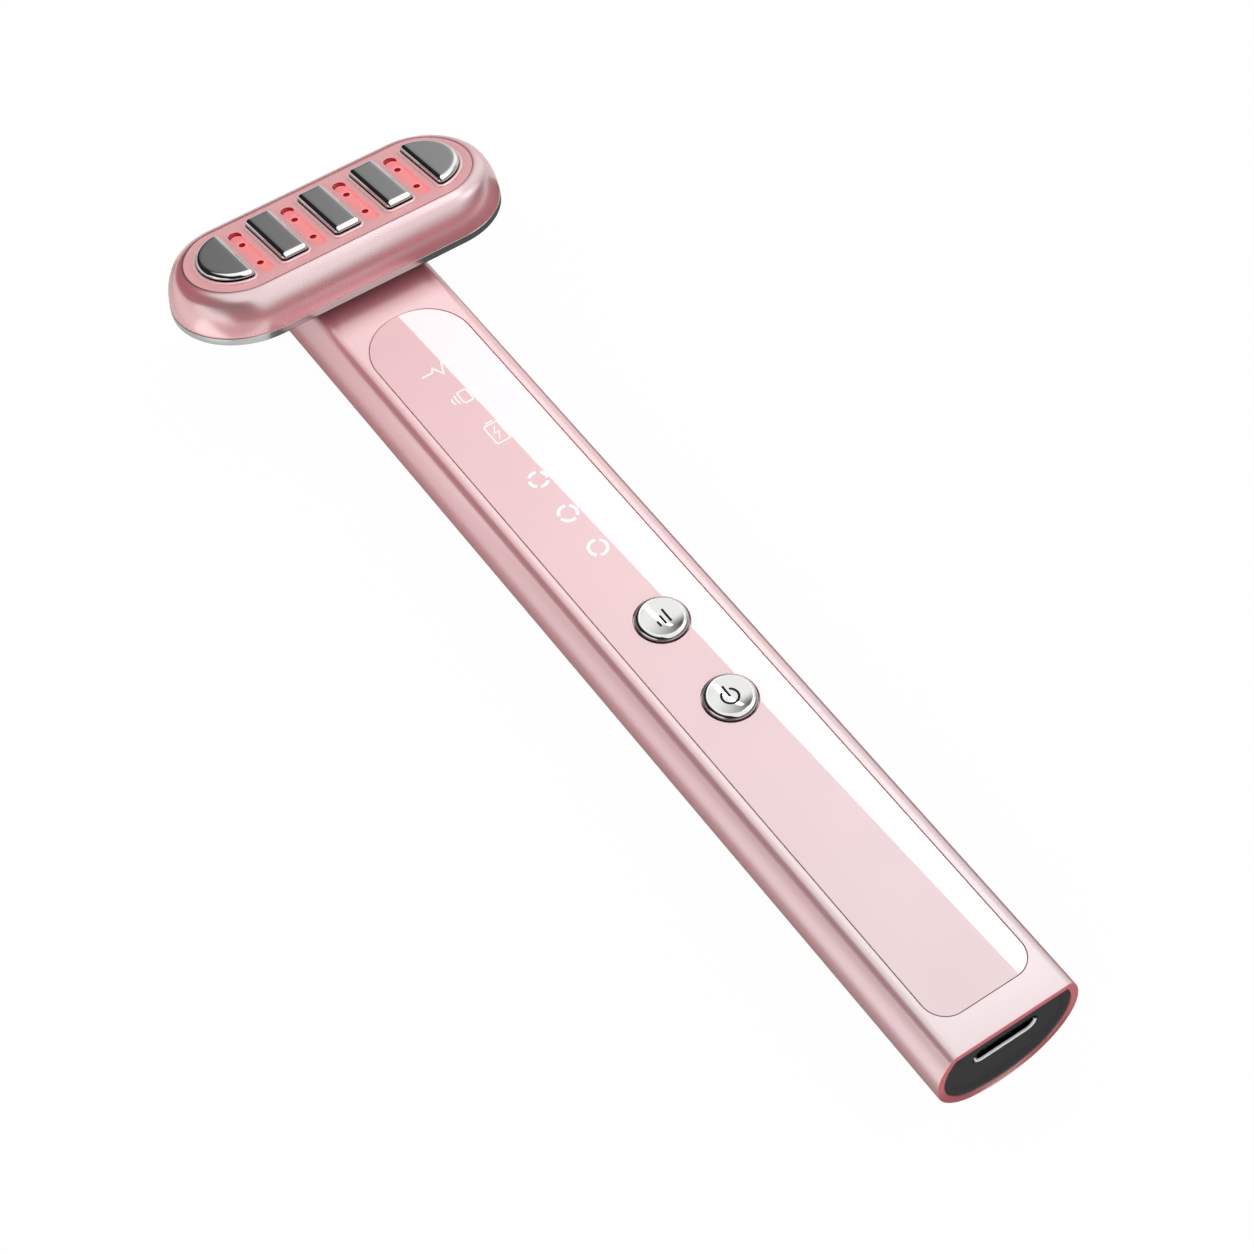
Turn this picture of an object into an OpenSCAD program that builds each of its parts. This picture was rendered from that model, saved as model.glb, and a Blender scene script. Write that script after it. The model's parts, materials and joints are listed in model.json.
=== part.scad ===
// A T-shaped facial toning wand: a slim D-section handle with a glossy control panel,
// and an obround head with metal contact electrodes that swivels on the handle's neck.
// Lengths are in millimetres. Two working frames are used below:
//  - handle frame: x across, y from the open lower end towards the head, z = 0 on the flat face;
//  - head frame: z = 0 on the plane of the red lamps, tilted towards the far end of the handle.

/* [Handle] */
// Depth of the handle from its flat face to its rounded back
handle_depth = 15.2; // [14:0.1:17]
// Radius of the back's shallow arc
back_r = 14; // [12.5:0.1:16]
// Radius of the two side arcs
side_r = 9.6; // [9:0.1:10]
// Distance of each side arc's centre from the middle
side_x = 1.24; // [1:0.01:1.6]
// Radius of the long edges beside the flat face
edge_r = 1.0; // [0.6:0.1:1.4]
// Thickness of the tube's curved wall
wall = 1.1; // [0.9:0.05:1.2]
// Thickness of the tube's flat face, panel recess included
face_wall = 2.2; // [2.1:0.05:2.4]

/* [Control panel] */
// Width of the glossy panel
panel_w = 15.2; // [14.6:0.1:15.6]
// Distance of the panel's lower edge from the open end
panel_y0 = 4.5; // [4:0.1:6]
// Distance of the panel's upper edge from the open end
panel_y1 = 136.7; // [134:0.1:138]
// Radius of the panel's lower corners
panel_low_r = 3.3; // [2:0.1:5]
// Radius of the panel's upper corners
panel_top_r = 7.2; // [5:0.1:7.2]
// Thickness of the panel
panel_t = 1.0; // [0.8:0.05:1.1]
// Width of the seam round the panel
panel_gap = 0.06; // [0.04:0.01:0.1]

/* [Buttons] */
// Distance of the power button from the open end
power_y = 56.9; // [55:0.1:58]
// Distance of the mode button from the open end
mode_y = 72.0; // [70:0.1:74]
// Radius of a button's cap
button_r = 3.6; // [3.4:0.05:3.7]
// Radius of the hole round a cap
button_hole_r = 3.8; // [3.75:0.05:4]
// Height of a cap above the face
button_proud = 0.8; // [0.5:0.05:1]
// Radius of the dish in a cap
dish_r = 3.0; // [2.6:0.1:3.1]
// Depth of the dish in a cap
dish_depth = 0.42; // [0.2:0.02:0.5]
// Travel of a button
press = 0.3; // [0.2:0.05:0.3]

/* [Indicators] */
// Distance of the lowest indicator from the open end
ring_y = 86.6; // [85:0.1:88]
// Pitch of the three round indicators
ring_pitch = 7.07; // [6.5:0.01:7.5]
// Distance of the battery symbol from the open end
battery_mark_y = 110.85; // [109:0.05:112]
// Distance of the lower function symbol from the open end
lower_mark_y = 118.85; // [117:0.05:120]
// Distance of the upper function symbol from the open end
upper_mark_y = 124.95; // [123:0.05:126]

/* [Charging port] */
// Width of the opening in the end cap
port_w = 10.0; // [9.6:0.1:10.4]
// Height of the opening in the end cap
port_h = 3.0; // [2.9:0.05:3.2]
// Depth of the port's centre below the face
port_z = 5.4; // [5.3:0.05:5.6]

/* [Head] */
// Tilt of the head against the handle, in degrees
head_pitch = 11.23; // [9:0.01:13]
// Distance of the head's centre from the open end
head_y = 153.45; // [150:0.05:156]
// Height of the lamp plane above the face, at the head's centre
head_z = 6.18; // [6:0.01:6.6]
// Half length of the straight stretch of the shell
shell_straight = 15.0; // [13:0.1:17]
// Radius of the shell's rounded shoulder
shoulder_r = 2.6; // [2:0.1:3]
// Radius of the shell's bulging flank, in cross-section
flank_r = 9.0; // [8.5:0.1:9.5]
// Half length of the straight stretch of the face plate
lens_straight = 15.3; // [14.8:0.05:15.4]
// End radius of the face plate
lens_r = 7.7; // [7.5:0.05:7.8]
// End radius of the metal base
base_r = 11.12; // [11:0.02:11.3]

/* [Electrodes] */
// Pitch of the electrodes along the head
bar_pitch = 8.636; // [8.4:0.01:8.8]
// Width of a bar electrode
bar_w = 4.2; // [3.8:0.1:4.4]
// Length of a bar electrode
bar_l = 11.5; // [11:0.1:11.6]
// Radius of the electrodes' rounded shoulders
bar_shoulder = 0.74; // [0.5:0.02:0.8]
// Height of the electrodes above the lamp plane
bar_top = 1.7; // [1.4:0.05:2]
// Radius of the two D-shaped end electrodes
end_r = 5.75; // [5.5:0.05:5.8]

/* [Swivel] */
// Radius of the hollow swivel post
post_r = 3.6; // [3.4:0.05:3.7]
// Radius of the way for the wires through the post
post_bore_r = 2.2; // [1.9:0.05:2.3]
// Radial running clearance of the post in its bush
run_gap = 0.05; // [0.03:0.01:0.09]
// Half of the swivel's range, in degrees
swivel_half = 90; // [60:5:95]

/* [Inside] */
// Width of the battery cell
cell_w = 13; // [11:0.5:13]
// Length of the battery cell
cell_l = 46; // [38:1:47]
// Thickness of the battery cell
cell_t = 4.8; // [4:0.1:4.8]
// Radius of the vibration motor's can
motor_r = 3.3; // [3:0.1:3.4]
// Length of the motor's can
motor_l = 13; // [10:0.5:14]
// Depth of the motor's axis below the face
motor_z = 8.8; // [8.6:0.1:9.2]

/* [Hidden] */

$fn = 64;
step = 6;                                   // degrees between points of a sampled arc
eps = 0.01;

// --- derived handle sizes
back_z = back_r - handle_depth;             // height of the back arc's centre
side_z = back_z - sqrt((back_r - side_r) ^ 2 - side_x ^ 2);
tangent_a = atan2(side_z - back_z, side_x); // where side and back arcs meet
cap_t = 3.2;                                // length of the end cap
cap_set_back = 0.2;
cap_dish = 0.35;
fit_gap = 0.02;                             // slip of a piece that is bonded in
tube_land = 3.6;                            // length of the thin-walled mouth of the tube

// --- derived panel sizes
pocket_z = -panel_t;                        // floor of the panel's recess
window_w = 5.2;
window_y = [ring_y - 3.4, upper_mark_y + 2.6];

// --- boards
board_t = 0.8;
board_top = -3.7;
board_w = 17;
board_y = [9.5, 131.5];
charge_top = -port_z - 1.45;                // the port's metal shell stands on this board
charge_w = 13;
charge_y = [4.2, 22.5];

// --- buttons
cap_bottom = pocket_z + press + 0.1;
stem_r = 1.5;
stem_hole_r = 1.58;
clip_t = 0.2;
clip_gap = 0.05;
stem_end = -face_wall - clip_gap - clip_t;
can_top = stem_end - press - 0.15;
can_w = 3.6;
plunger_r = 0.8;
plunger_end = board_top + press + 0.3;

// --- chassis
chassis_inset = wall + 0.1;
chassis_top = board_top - board_t;
chassis_y = [24, 122];
cell_y = 30;
cell_gap = 0.1;
pad_t = 0.8;
motor_y = 96;                               // lower end of the motor's can
sleeve_t = 0.6;
shaft_r = 0.6;
shaft_l = 7;
weight_r = 2.9;
weight_l = 5;
screw_spots = [[-5, 26.5], [5, 26.5], [-5, 79.5], [5, 79.5]];

// --- head cross-section: radius from the head's long axis line, height in the head frame
flank_c = [1.95, -5.2];
lip_top = 0.5;
shell_bottom = -5.35;
shoulder_c = [flank_c[0] + sqrt((flank_r - shoulder_r) ^ 2
    - (lip_top - shoulder_r - flank_c[1]) ^ 2), lip_top - shoulder_r];
join_a = atan2(shoulder_c[1] - flank_c[1], shoulder_c[0] - flank_c[0]);
flank_end_a = asin((shell_bottom - flank_c[1]) / flank_r);
plate_top = 0.45;
plate_step = -0.4;
plate_bottom = -1.0;
flange_r = 8.4;
seat = -0.3;                                // where the electrodes sit in the face plate
base_bottom = -6.54;
seat_h = -6.94;                             // top of the handle's neck
barrel_end = -11.0;
barrel_r = 6.6;
bush_r = 5.0;
washer_r = 6.3;
ring_top = -11.62;
ring_t = 0.6;
ring_groove_r = 3.1;
post_end = -13.0;
post_flange_r = 6.4;
post_flange_t = 1.2;
stop_r = 8.6;                               // distance of the stop pin from the swivel axis
pin_r = 0.7;
pin_top = -6.0;
groove_depth = 0.7;
groove_w = 1.9;
groove_a = swivel_half + 7.5;
slot_half = 5.65;
slot_r = 0.97;
lamp_hole_r = 0.5;
lamp_y = 2.65;
lamp_x = [for (i = [-1.5 : 1 : 1.5]) i * bar_pitch];
end_c = 15.2;                               // centre of the D-shaped electrodes' arc
end_flat = 15.2;                            // their flat side
seal_w = 0.5;
seal_top = 0.72;
stud_r = 0.75;                              // studs under the electrodes
stud_y = 4.2;                               // bar studs clear the socket on the swivel axis
studs = concat([[-17.9, 0]], [for (i = [-1 : 1]) [i * bar_pitch, stud_y]], [[17.9, 0]]);
film_bottom = -1.25;
head_board_top = -2.0;
head_board_bottom = -2.8;
base_screw_x = 21.9;
post_screw_r = 5.05;
lead_r = 1.1;
lead_bend = 3;
lead_lap = 0.3;                             // how far the straight runs reach into the bends
lead_z = -10.6;
lead_y = 126.5;

// --- curves as lists of points
function arc(c, r, a0, a1) = let (n = max(2, ceil(abs(a1 - a0) / step)))
    [for (i = [0 : n]) let (a = a0 + (a1 - a0) * i / n) c + r * [cos(a), sin(a)]];
function flip(pts) = [for (i = [len(pts) - 1 : -1 : 0]) [-pts[i][0], pts[i][1]]];

// Right half of the handle's section, drawn in by "inset", with its flat top at -"top"
function half_section(inset, top, er) =
    let (cz = -top - er,
         cx = side_x + sqrt((side_r - inset - er) ^ 2 - (cz - side_z) ^ 2),
         a = atan2(cz - side_z, cx - side_x))
    concat([[0, -top]],
        arc([cx, cz], er, 90, a),
        arc([side_x, side_z], side_r - inset, a - step, tangent_a),
        arc([0, back_z], back_r - inset, tangent_a - step, -90));
function section(inset, top, er) =
    let (h = half_section(inset, top, er))
    concat(h, flip([for (i = [1 : len(h) - 2]) h[i]]));

// A rectangle from y0 to y1 with its own radii at the lower and upper corners
function plate_outline(w, y0, y1, low, high) = concat(
    arc([w / 2 - low, y0 + low], low, -90, 0),
    arc([w / 2 - high, y1 - high], high, 0, 90),
    arc([high - w / 2, y1 - high], high, 90, 180),
    arc([low - w / 2, y0 + low], low, 180, 270));

// The D of an end electrode: an arc about end_c, cut straight, with rounded corners
function d_outline(r, flat, k) =
    let (a = acos((flat + k - end_c) / (r - k)), fc = (r - k) * sin(a))
    concat(arc([end_c, 0], r, -a, a),
        arc([flat + k, fc], k, a + step, 180),
        arc([flat + k, -fc], k, 180, 360 - a - step));

// The shell's outer curve, from its lip down to its lower edge
shell_curve = concat(
    arc(shoulder_c, shoulder_r, 90, join_a),
    arc(flank_c, flank_r, join_a - 3, head_pitch),
    arc(flank_c, flank_r, head_pitch - 3, flank_end_a));

// Overall length, from the open end to the furthest point of the tilted shell
length = head_y + max([for (p = shell_curve) p[0] * cos(head_pitch) + p[1] * sin(head_pitch)]);

// --- frames
module in_handle() {
    translate([0, -length / 2, handle_depth]) children();
}

module tilt() {
    translate([0, head_y, head_z]) rotate([-head_pitch, 0, 0]) children();
}

module in_head() {
    in_handle() tilt() children();
}

// --- shared shapes
// Extrudes an (x, z) outline along y, from y0 to y1
module along_y(y0, y1) {
    translate([0, y1, 0]) rotate([90, 0, 0]) linear_extrude(y1 - y0) children();
}

// Extrudes an (x, y) outline upwards, from z0 to z1
module rise(z0, z1) {
    translate([0, 0, z0]) linear_extrude(z1 - z0) children();
}

module disc(r, z0, z1, at = [0, 0]) {
    translate([at[0], at[1], z0]) cylinder(r = r, h = z1 - z0);
}

module box(low, high) {
    translate(low) cube(high - low);
}

// The handle's section carried along y to the neck and turned round the neck's end
module handle_form(inset, top, er, y0) {
    along_y(y0, neck_y) polygon(section(inset, top, er));
    translate([0, neck_y, 0]) rotate_extrude(angle = 180) polygon(half_section(inset, top, er));
}
neck_y = head_y + base_bottom * sin(head_pitch);

// A closed loop of cross-section (radius, height) round the head's middle line
module loop(straight) {
    for (side = [0, 1])
        rotate([0, 0, 180 * side]) translate([straight, 0, 0])
            rotate([0, 0, -90]) rotate_extrude(angle = 180) children();
    rotate([90, 0, 90]) translate([0, 0, -straight]) linear_extrude(2 * straight) {
        children();
        mirror([1, 0]) children();
    }
}

module obround_prism(straight, r, z0, z1) {
    loop(straight) translate([0, z0]) square([r, z1 - z0]);
}

module ring(inner, outer, z0, z1) {
    difference() {
        disc(outer, z0, z1);
        disc(inner, z0 - 1, z1 + 1);
    }
}

// Pan-head screw that points along -z, with its head's underside at z = 0
module screw(shank_r, length, cap_r, cap_h) {
    disc(shank_r, -length, 0);
    difference() {
        disc(cap_r, 0, cap_h);
        for (a = [0, 90]) rotate([0, 0, a])
            box([-0.7 * cap_r, -0.12, 0.5 * cap_h], [0.7 * cap_r, 0.12, cap_h + 1]);
    }
}

// --- handle
module handle_tube() color([0.87, 0.72, 0.72]) in_handle() difference() {
    union() {
        difference() {
            handle_form(0, 0, edge_r, 0);
            difference() {
                handle_form(wall, face_wall, 0.5, tube_land - eps);
                tilt() box([-20, -30, seat_h - 1.2], [20, 30, 20]);
            }
            tilt() box([-20, -20, seat_h], [20, 20, 20]);
        }
        tilt() disc(barrel_r, barrel_end, seat_h);
    }
    along_y(-1, tube_land) polygon(section(wall, wall, 0.5));
    rise(pocket_z, 1) polygon(plate_outline(panel_w + 2 * panel_gap, panel_y0 - panel_gap,
        panel_y1 + panel_gap, panel_low_r + panel_gap, panel_top_r + panel_gap));
    box([-window_w / 2, window_y[0], -face_wall - 1], [window_w / 2, window_y[1], 0]);
    for (y = [power_y, mode_y]) disc(stem_hole_r, -face_wall - 1, 0, [0, y]);
    tilt() disc(bush_r, barrel_end - 1, seat_h + 1);
    tilt() disc(pin_r, seat_h - 1, seat_h + 1, [0, stop_r]);
}

module control_panel() color([0.9, 0.77, 0.79]) in_handle() difference() {
    rise(-panel_t, 0) polygon(plate_outline(panel_w, panel_y0, panel_y1, panel_low_r, panel_top_r));
    for (y = [power_y, mode_y]) disc(button_hole_r, -5, 5, [0, y]);
}

module light_guide() color([0.95, 0.93, 0.92]) in_handle()
    box([-window_w / 2, window_y[0], -face_wall], [window_w / 2, window_y[1], pocket_z]);

module main_board() color([0.1, 0.35, 0.2]) in_handle() difference() {
    box([-board_w / 2, board_y[0], board_top - board_t], [board_w / 2, board_y[1], board_top]);
    for (p = screw_spots) disc(0.75, -9, 0, p);
}

module indicator_leds() color([1, 0.95, 0.8]) in_handle()
    for (y = concat([for (i = [0 : 2]) ring_y + i * ring_pitch],
            [battery_mark_y, lower_mark_y, upper_mark_y]))
        box([-0.8, y - 0.4, board_top], [0.8, y + 0.4, board_top + 0.6]);

module main_chip() color([0.12, 0.12, 0.13]) in_handle() {
    box([-3, 37, board_top], [3, 43, board_top + 0.9]);
    for (x = [-2.4 : 0.8 : 2.4]) {
        box([x - 0.15, 36.2, board_top], [x + 0.15, 37, board_top + 0.3]);
        box([x - 0.15, 43, board_top], [x + 0.15, 43.8, board_top + 0.3]);
    }
}

module switch_can(y) in_handle() difference() {
    box([-can_w / 2, y - can_w / 2, board_top], [can_w / 2, y + can_w / 2, can_top]);
    disc(plunger_r + 0.1, board_top + 0.1, can_top + 1, [0, y]);
}

module mode_switch() color([0.75, 0.75, 0.77]) switch_can(mode_y);
module power_switch() color([0.75, 0.75, 0.77]) switch_can(power_y);

module chassis() color([0.85, 0.85, 0.83]) in_handle() difference() {
    intersection() {
        along_y(charge_y[0] + 4, chassis_y[1]) polygon(section(chassis_inset, face_wall, 0.5));
        union() {
            box([-15, chassis_y[0], -20], [15, chassis_y[1], chassis_top]);
            for (s = [-1, 1]) translate([s * 6.2, 0, 0])
                box([-1.2, 0, charge_top - board_t - 2], [1.2, 25, charge_top - board_t]);
        }
    }
    box([-cell_w / 2 - cell_gap, cell_y - 1, chassis_top - cell_t - cell_gap - pad_t],
        [cell_w / 2 + cell_gap, cell_y + cell_l + 1, 0]);
    box([-5.5, 82, -11], [5.5, motor_y - 2, 0]);
    along_y(motor_y - 3, motor_y + motor_l + 1) translate([0, -motor_z])
        circle(motor_r + sleeve_t);
    box([-motor_r - sleeve_t, motor_y - 3, -motor_z],
        [motor_r + sleeve_t, motor_y + motor_l + 1, 0]);
    box([-3.5, motor_y + motor_l, -motor_z - 3.5], [3.5, motor_y + motor_l + 9, 0]);
    for (p = screw_spots) disc(0.7, -9.5, 0, p);
}

module board_screws() color([0.8, 0.8, 0.82]) in_handle()
    for (p = screw_spots) translate([p[0], p[1], board_top]) screw(0.7, 4.5, 1.3, 0.6);

module battery() color([0.75, 0.76, 0.8]) in_handle()
    along_y(cell_y, cell_y + cell_l) translate([0, chassis_top - cell_gap - cell_t])
        polygon(plate_outline(cell_w, 0, cell_t, 1.6, 1.6));

module battery_pad() color([0.25, 0.25, 0.27]) in_handle() translate([0, cell_y, 0])
    box([-5.5, 3, chassis_top - cell_gap - cell_t - pad_t],
        [5.5, cell_l - 3, chassis_top - cell_gap - cell_t]);

module battery_tabs() color([0.8, 0.8, 0.78]) in_handle()
    for (x = [-3.5, 1.5]) box([x, cell_y + cell_l, chassis_top - 2.6],
        [x + 2, cell_y + cell_l + 0.2, chassis_top]);

module charge_board() color([0.1, 0.35, 0.2]) in_handle()
    box([-charge_w / 2, charge_y[0], charge_top - board_t],
        [charge_w / 2, charge_y[1], charge_top]);

module charge_chip() color([0.12, 0.12, 0.13]) in_handle()
    box([-2, 10.5, charge_top], [2, 14.5, charge_top + 0.9]);

module board_link() color([0.15, 0.15, 0.15]) in_handle()
    box([-5, 17, charge_top], [5, 19.2, chassis_top]);

module usb_shell() color([0.85, 0.85, 0.87]) in_handle() difference() {
    along_y(cap_set_back + cap_dish, 8.2) translate([0, -port_z - 1.45])
        polygon(plate_outline(9.6, 0, 2.9, 1.44, 1.44));
    along_y(-1, 7.6) translate([0, -port_z - 1.2])
        polygon(plate_outline(9.1, 0, 2.4, 1.19, 1.19));
}

module usb_tongue() color([0.1, 0.1, 0.11]) in_handle()
    box([-3.35, 1.6, -port_z - 0.35], [3.35, 7.6, -port_z + 0.35]);

module end_cap() color([0.23, 0.23, 0.24]) in_handle() difference() {
    along_y(cap_set_back, cap_set_back + cap_t)
        polygon(section(wall + fit_gap, wall + fit_gap, 0.5));
    along_y(-1, cap_set_back + cap_dish) polygon(section(wall + 1.3, wall + 1.3, 0.4));
    along_y(-1, 5) translate([0, -port_z - port_h / 2])
        polygon(plate_outline(port_w, 0, port_h, port_h / 2 - eps, port_h / 2 - eps));
}

// --- vibration motor
module motor_sleeve() color([0.2, 0.2, 0.21]) in_handle()
    along_y(motor_y + 1, motor_y + motor_l - 1) translate([0, -motor_z]) difference() {
        circle(motor_r + sleeve_t);
        circle(motor_r);
    }

module motor_can() color([0.78, 0.78, 0.8]) in_handle() difference() {
    along_y(motor_y, motor_y + motor_l) translate([0, -motor_z]) circle(motor_r);
    along_y(motor_y + motor_l - 4, motor_y + motor_l + 1) translate([0, -motor_z])
        circle(shaft_r + run_gap);
}

module motor_contacts() color([0.85, 0.7, 0.3]) in_handle()
    for (x = [-1.4, 1.4]) {
        box([x - 0.4, motor_y - 0.6, -motor_z - 0.4], [x + 0.4, motor_y, -motor_z + 0.4]);
        box([x - 0.4, motor_y - 0.8, -motor_z - 0.4], [x + 0.4, motor_y - 0.6, chassis_top]);
    }

module motor_shaft() color([0.7, 0.7, 0.72]) in_handle()
    along_y(motor_y + motor_l - 3.8, motor_y + motor_l + shaft_l) translate([0, -motor_z])
        circle(shaft_r);

module eccentric_weight() color([0.6, 0.58, 0.52]) in_handle()
    along_y(motor_y + motor_l + 1.5, motor_y + motor_l + 1.5 + weight_l)
        translate([0, -motor_z]) difference() {
            intersection() {
                circle(weight_r);
                translate([-weight_r, -weight_r]) square([2 * weight_r, weight_r + 1]);
            }
            circle(shaft_r);
        }

// --- buttons
module button(y) in_handle() translate([0, y, 0]) {
    rim = 0.3;
    bowl_r = (dish_r ^ 2 + dish_depth ^ 2) / (2 * dish_depth);
    bowl_a = asin(dish_r / bowl_r);
    rotate_extrude() polygon(concat(
        [[0, stem_end], [stem_r, stem_end], [stem_r, cap_bottom], [button_r, cap_bottom]],
        arc([button_r - rim, button_proud - rim], rim, 0, 90),
        [for (i = [0 : 5]) let (a = bowl_a * (1 - i / 5))
            [bowl_r * sin(a), button_proud - dish_depth + bowl_r * (1 - cos(a))]]));
}

module plunger(y) in_handle() disc(plunger_r, plunger_end, stem_end, [0, y]);

module clip(y) in_handle() translate([0, y, 0])
    ring(stem_r, 2.6, -face_wall - clip_gap - clip_t, -face_wall - clip_gap);

module mode_button() color([0.85, 0.85, 0.87]) button(mode_y);
module mode_plunger() color([0.2, 0.2, 0.2]) plunger(mode_y);
module mode_clip() color([0.6, 0.6, 0.62]) clip(mode_y);
module power_button() color([0.85, 0.85, 0.87]) button(power_y);
module power_plunger() color([0.2, 0.2, 0.2]) plunger(power_y);
module power_clip() color([0.6, 0.6, 0.62]) clip(power_y);

// --- swivel
module swivel_bush() color([0.8, 0.65, 0.35]) in_head()
    ring(post_r + run_gap, bush_r, barrel_end, seat_h);

module friction_washer() color([0.15, 0.15, 0.16]) in_head()
    ring(post_r + 0.2, washer_r, seat_h, base_bottom - 0.05);

module stop_pin() color([0.7, 0.7, 0.72]) in_head()
    disc(pin_r, seat_h - 1, pin_top, [0, stop_r]);

module swivel_post() color([0.75, 0.75, 0.77]) in_head() difference() {
    union() {
        disc(post_r, post_end, shell_bottom);
        disc(post_flange_r, shell_bottom, shell_bottom + post_flange_t);
    }
    disc(post_bore_r, post_end - 1, 0);
    ring(ring_groove_r, post_r + 1, ring_top - ring_t, ring_top);
    for (a = [90, 210, 330]) disc(0.7, -9, 0, post_screw_r * [cos(a), sin(a)]);
}

module post_screws() color([0.8, 0.8, 0.82]) in_head()
    for (a = [90, 210, 330])
        translate([post_screw_r * cos(a), post_screw_r * sin(a), shell_bottom + post_flange_t])
            screw(0.7, 2.0, 1.15, 0.5);

module wave_washer() color([0.7, 0.7, 0.73]) in_head()
    ring(post_r + 0.1, 5.3, ring_top + 0.05, barrel_end - 0.05);

module retaining_ring() color([0.55, 0.55, 0.58]) in_head() difference() {
    ring(ring_groove_r, 5.2, ring_top - ring_t, ring_top);
    box([-1.1, -7, -20], [1.1, 0, 0]);
}

// --- wires from the main board, up through the post
module head_lead() color([0.75, 0.2, 0.2]) in_handle() {
    drop_h = (lead_z - head_z) / cos(head_pitch);
    corner_y = head_y + drop_h * sin(head_pitch);
    turn = 90 - head_pitch;
    run = lead_bend * tan(turn / 2);
    bend_z = lead_z + lead_bend;
    disc(lead_r, bend_z - lead_lap, chassis_top - 1.8, [0, lead_y]);
    lead_turn(lead_y + lead_bend, bend_z, 180, 90);
    along_y(lead_y + lead_bend - lead_lap, corner_y - run + lead_lap)
        translate([0, lead_z]) circle(lead_r);
    lead_turn(corner_y - run, bend_z, -90, turn);
    tilt() disc(lead_r, drop_h + run - lead_lap, head_board_bottom - 1.5);
}

// A bend of the wires in the middle plane, a little thicker than the straight runs it joins
module lead_turn(y, z, from, sweep) {
    translate([0, y, z]) rotate([90, 0, 90]) rotate([0, 0, from])
        rotate_extrude(angle = sweep) translate([lead_bend, 0]) circle(lead_r + 0.06);
}

module lead_socket() color([0.9, 0.88, 0.8]) in_handle()
    box([-3, lead_y - 2.2, chassis_top - 1.8], [3, lead_y + 2.2, chassis_top]);

// --- head
module head_base() color([0.75, 0.74, 0.74]) in_head() difference() {
    union() {
        loop(shell_straight) polygon(concat(
            [[0, base_bottom]],
            arc([base_r - 0.25, base_bottom + 0.25], 0.25, -90, 0),
            [[base_r, shell_bottom - 0.1], [base_r - 0.1, shell_bottom], [0, shell_bottom]]));
        loop(shell_straight) translate([8.85, shell_bottom - 0.3]) square([0.8, 1.3]);
    }
    disc(post_r, -9, 0);
    rotate([0, 0, 90 - groove_a]) rotate_extrude(angle = 2 * groove_a)
        translate([stop_r - groove_w / 2, base_bottom - 1]) square([groove_w, groove_depth + 1]);
    for (s = [-1, 1]) {
        disc(0.8, -9, 0, [s * base_screw_x, 0]);
        disc(1.55, -9, base_bottom + 0.6, [s * base_screw_x, 0]);
    }
    for (a = [90, 210, 330]) disc(0.7, base_bottom + 0.35, 0, post_screw_r * [cos(a), sin(a)]);
}

module base_screws() color([0.8, 0.8, 0.82]) in_head()
    for (s = [-1, 1]) translate([s * base_screw_x, 0, base_bottom + 0.6])
        rotate([180, 0, 0]) screw(0.75, 3.0, 1.4, 0.5);

module head_shell() color([0.86, 0.66, 0.67]) in_head() difference() {
    union() {
        loop(shell_straight) polygon(concat(
            [[6.5, plate_step], [6.5, lip_top]],
            shell_curve,
            [[9.85, shell_bottom], [9.75, -3.2], [9.35, -1.8], [8.85, -0.9], [8.75, plate_step]]));
        for (s = [-1, 1]) intersection() {
            box([s * 22.6 - 2.2, -1.7, -4.2], [s * 22.6 + 2.2, 1.7, -1.3]);
            loop(shell_straight) translate([0, -6]) square([9.95, 7]);
        }
    }
    obround_prism(lens_straight, lens_r + 0.05, plate_step - 0.2, 2);
    for (s = [-1, 1]) disc(0.75, -6, -2.2, [s * base_screw_x, 0]);
}

// Outline of each electrode grown by g, for electrode number i from -2 to 2
module electrode_outline(i, g) {
    if (abs(i) < 2)
        translate([i * bar_pitch, 0]) polygon(plate_outline(bar_w + 2 * g, -bar_l / 2 - g,
            bar_l / 2 + g, 0.6 + g, 0.6 + g));
    else
        mirror([i < 0 ? 1 : 0, 0]) polygon(d_outline(end_r + g, end_flat - g, 0.6 + g));
}

module face_plate() color([0.85, 0.5, 0.53]) in_head() difference() {
    union() {
        obround_prism(lens_straight, lens_r, plate_step - eps, plate_top);
        obround_prism(lens_straight, flange_r, plate_bottom, plate_step);
    }
    for (i = [-2 : 2]) {
        rise(seat, 2) electrode_outline(i, 0.03);
        disc(stud_r + 0.05, -3, 0, studs[i + 2]);
    }
    for (x = lamp_x) {
        rise(0, 2) translate([x, 0]) polygon(plate_outline(2 * slot_r, -slot_half, slot_half,
            slot_r - eps, slot_r - eps));
        for (y = [-lamp_y, lamp_y]) disc(lamp_hole_r, -3, 1, [x, y]);
    }
}

module electrode_seals() color([0.9, 0.7, 0.7]) in_head()
    for (i = [-2 : 2]) rise(plate_top, seal_top) difference() {
        electrode_outline(i, seal_w);
        electrode_outline(i, 0.03);
    }

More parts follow.
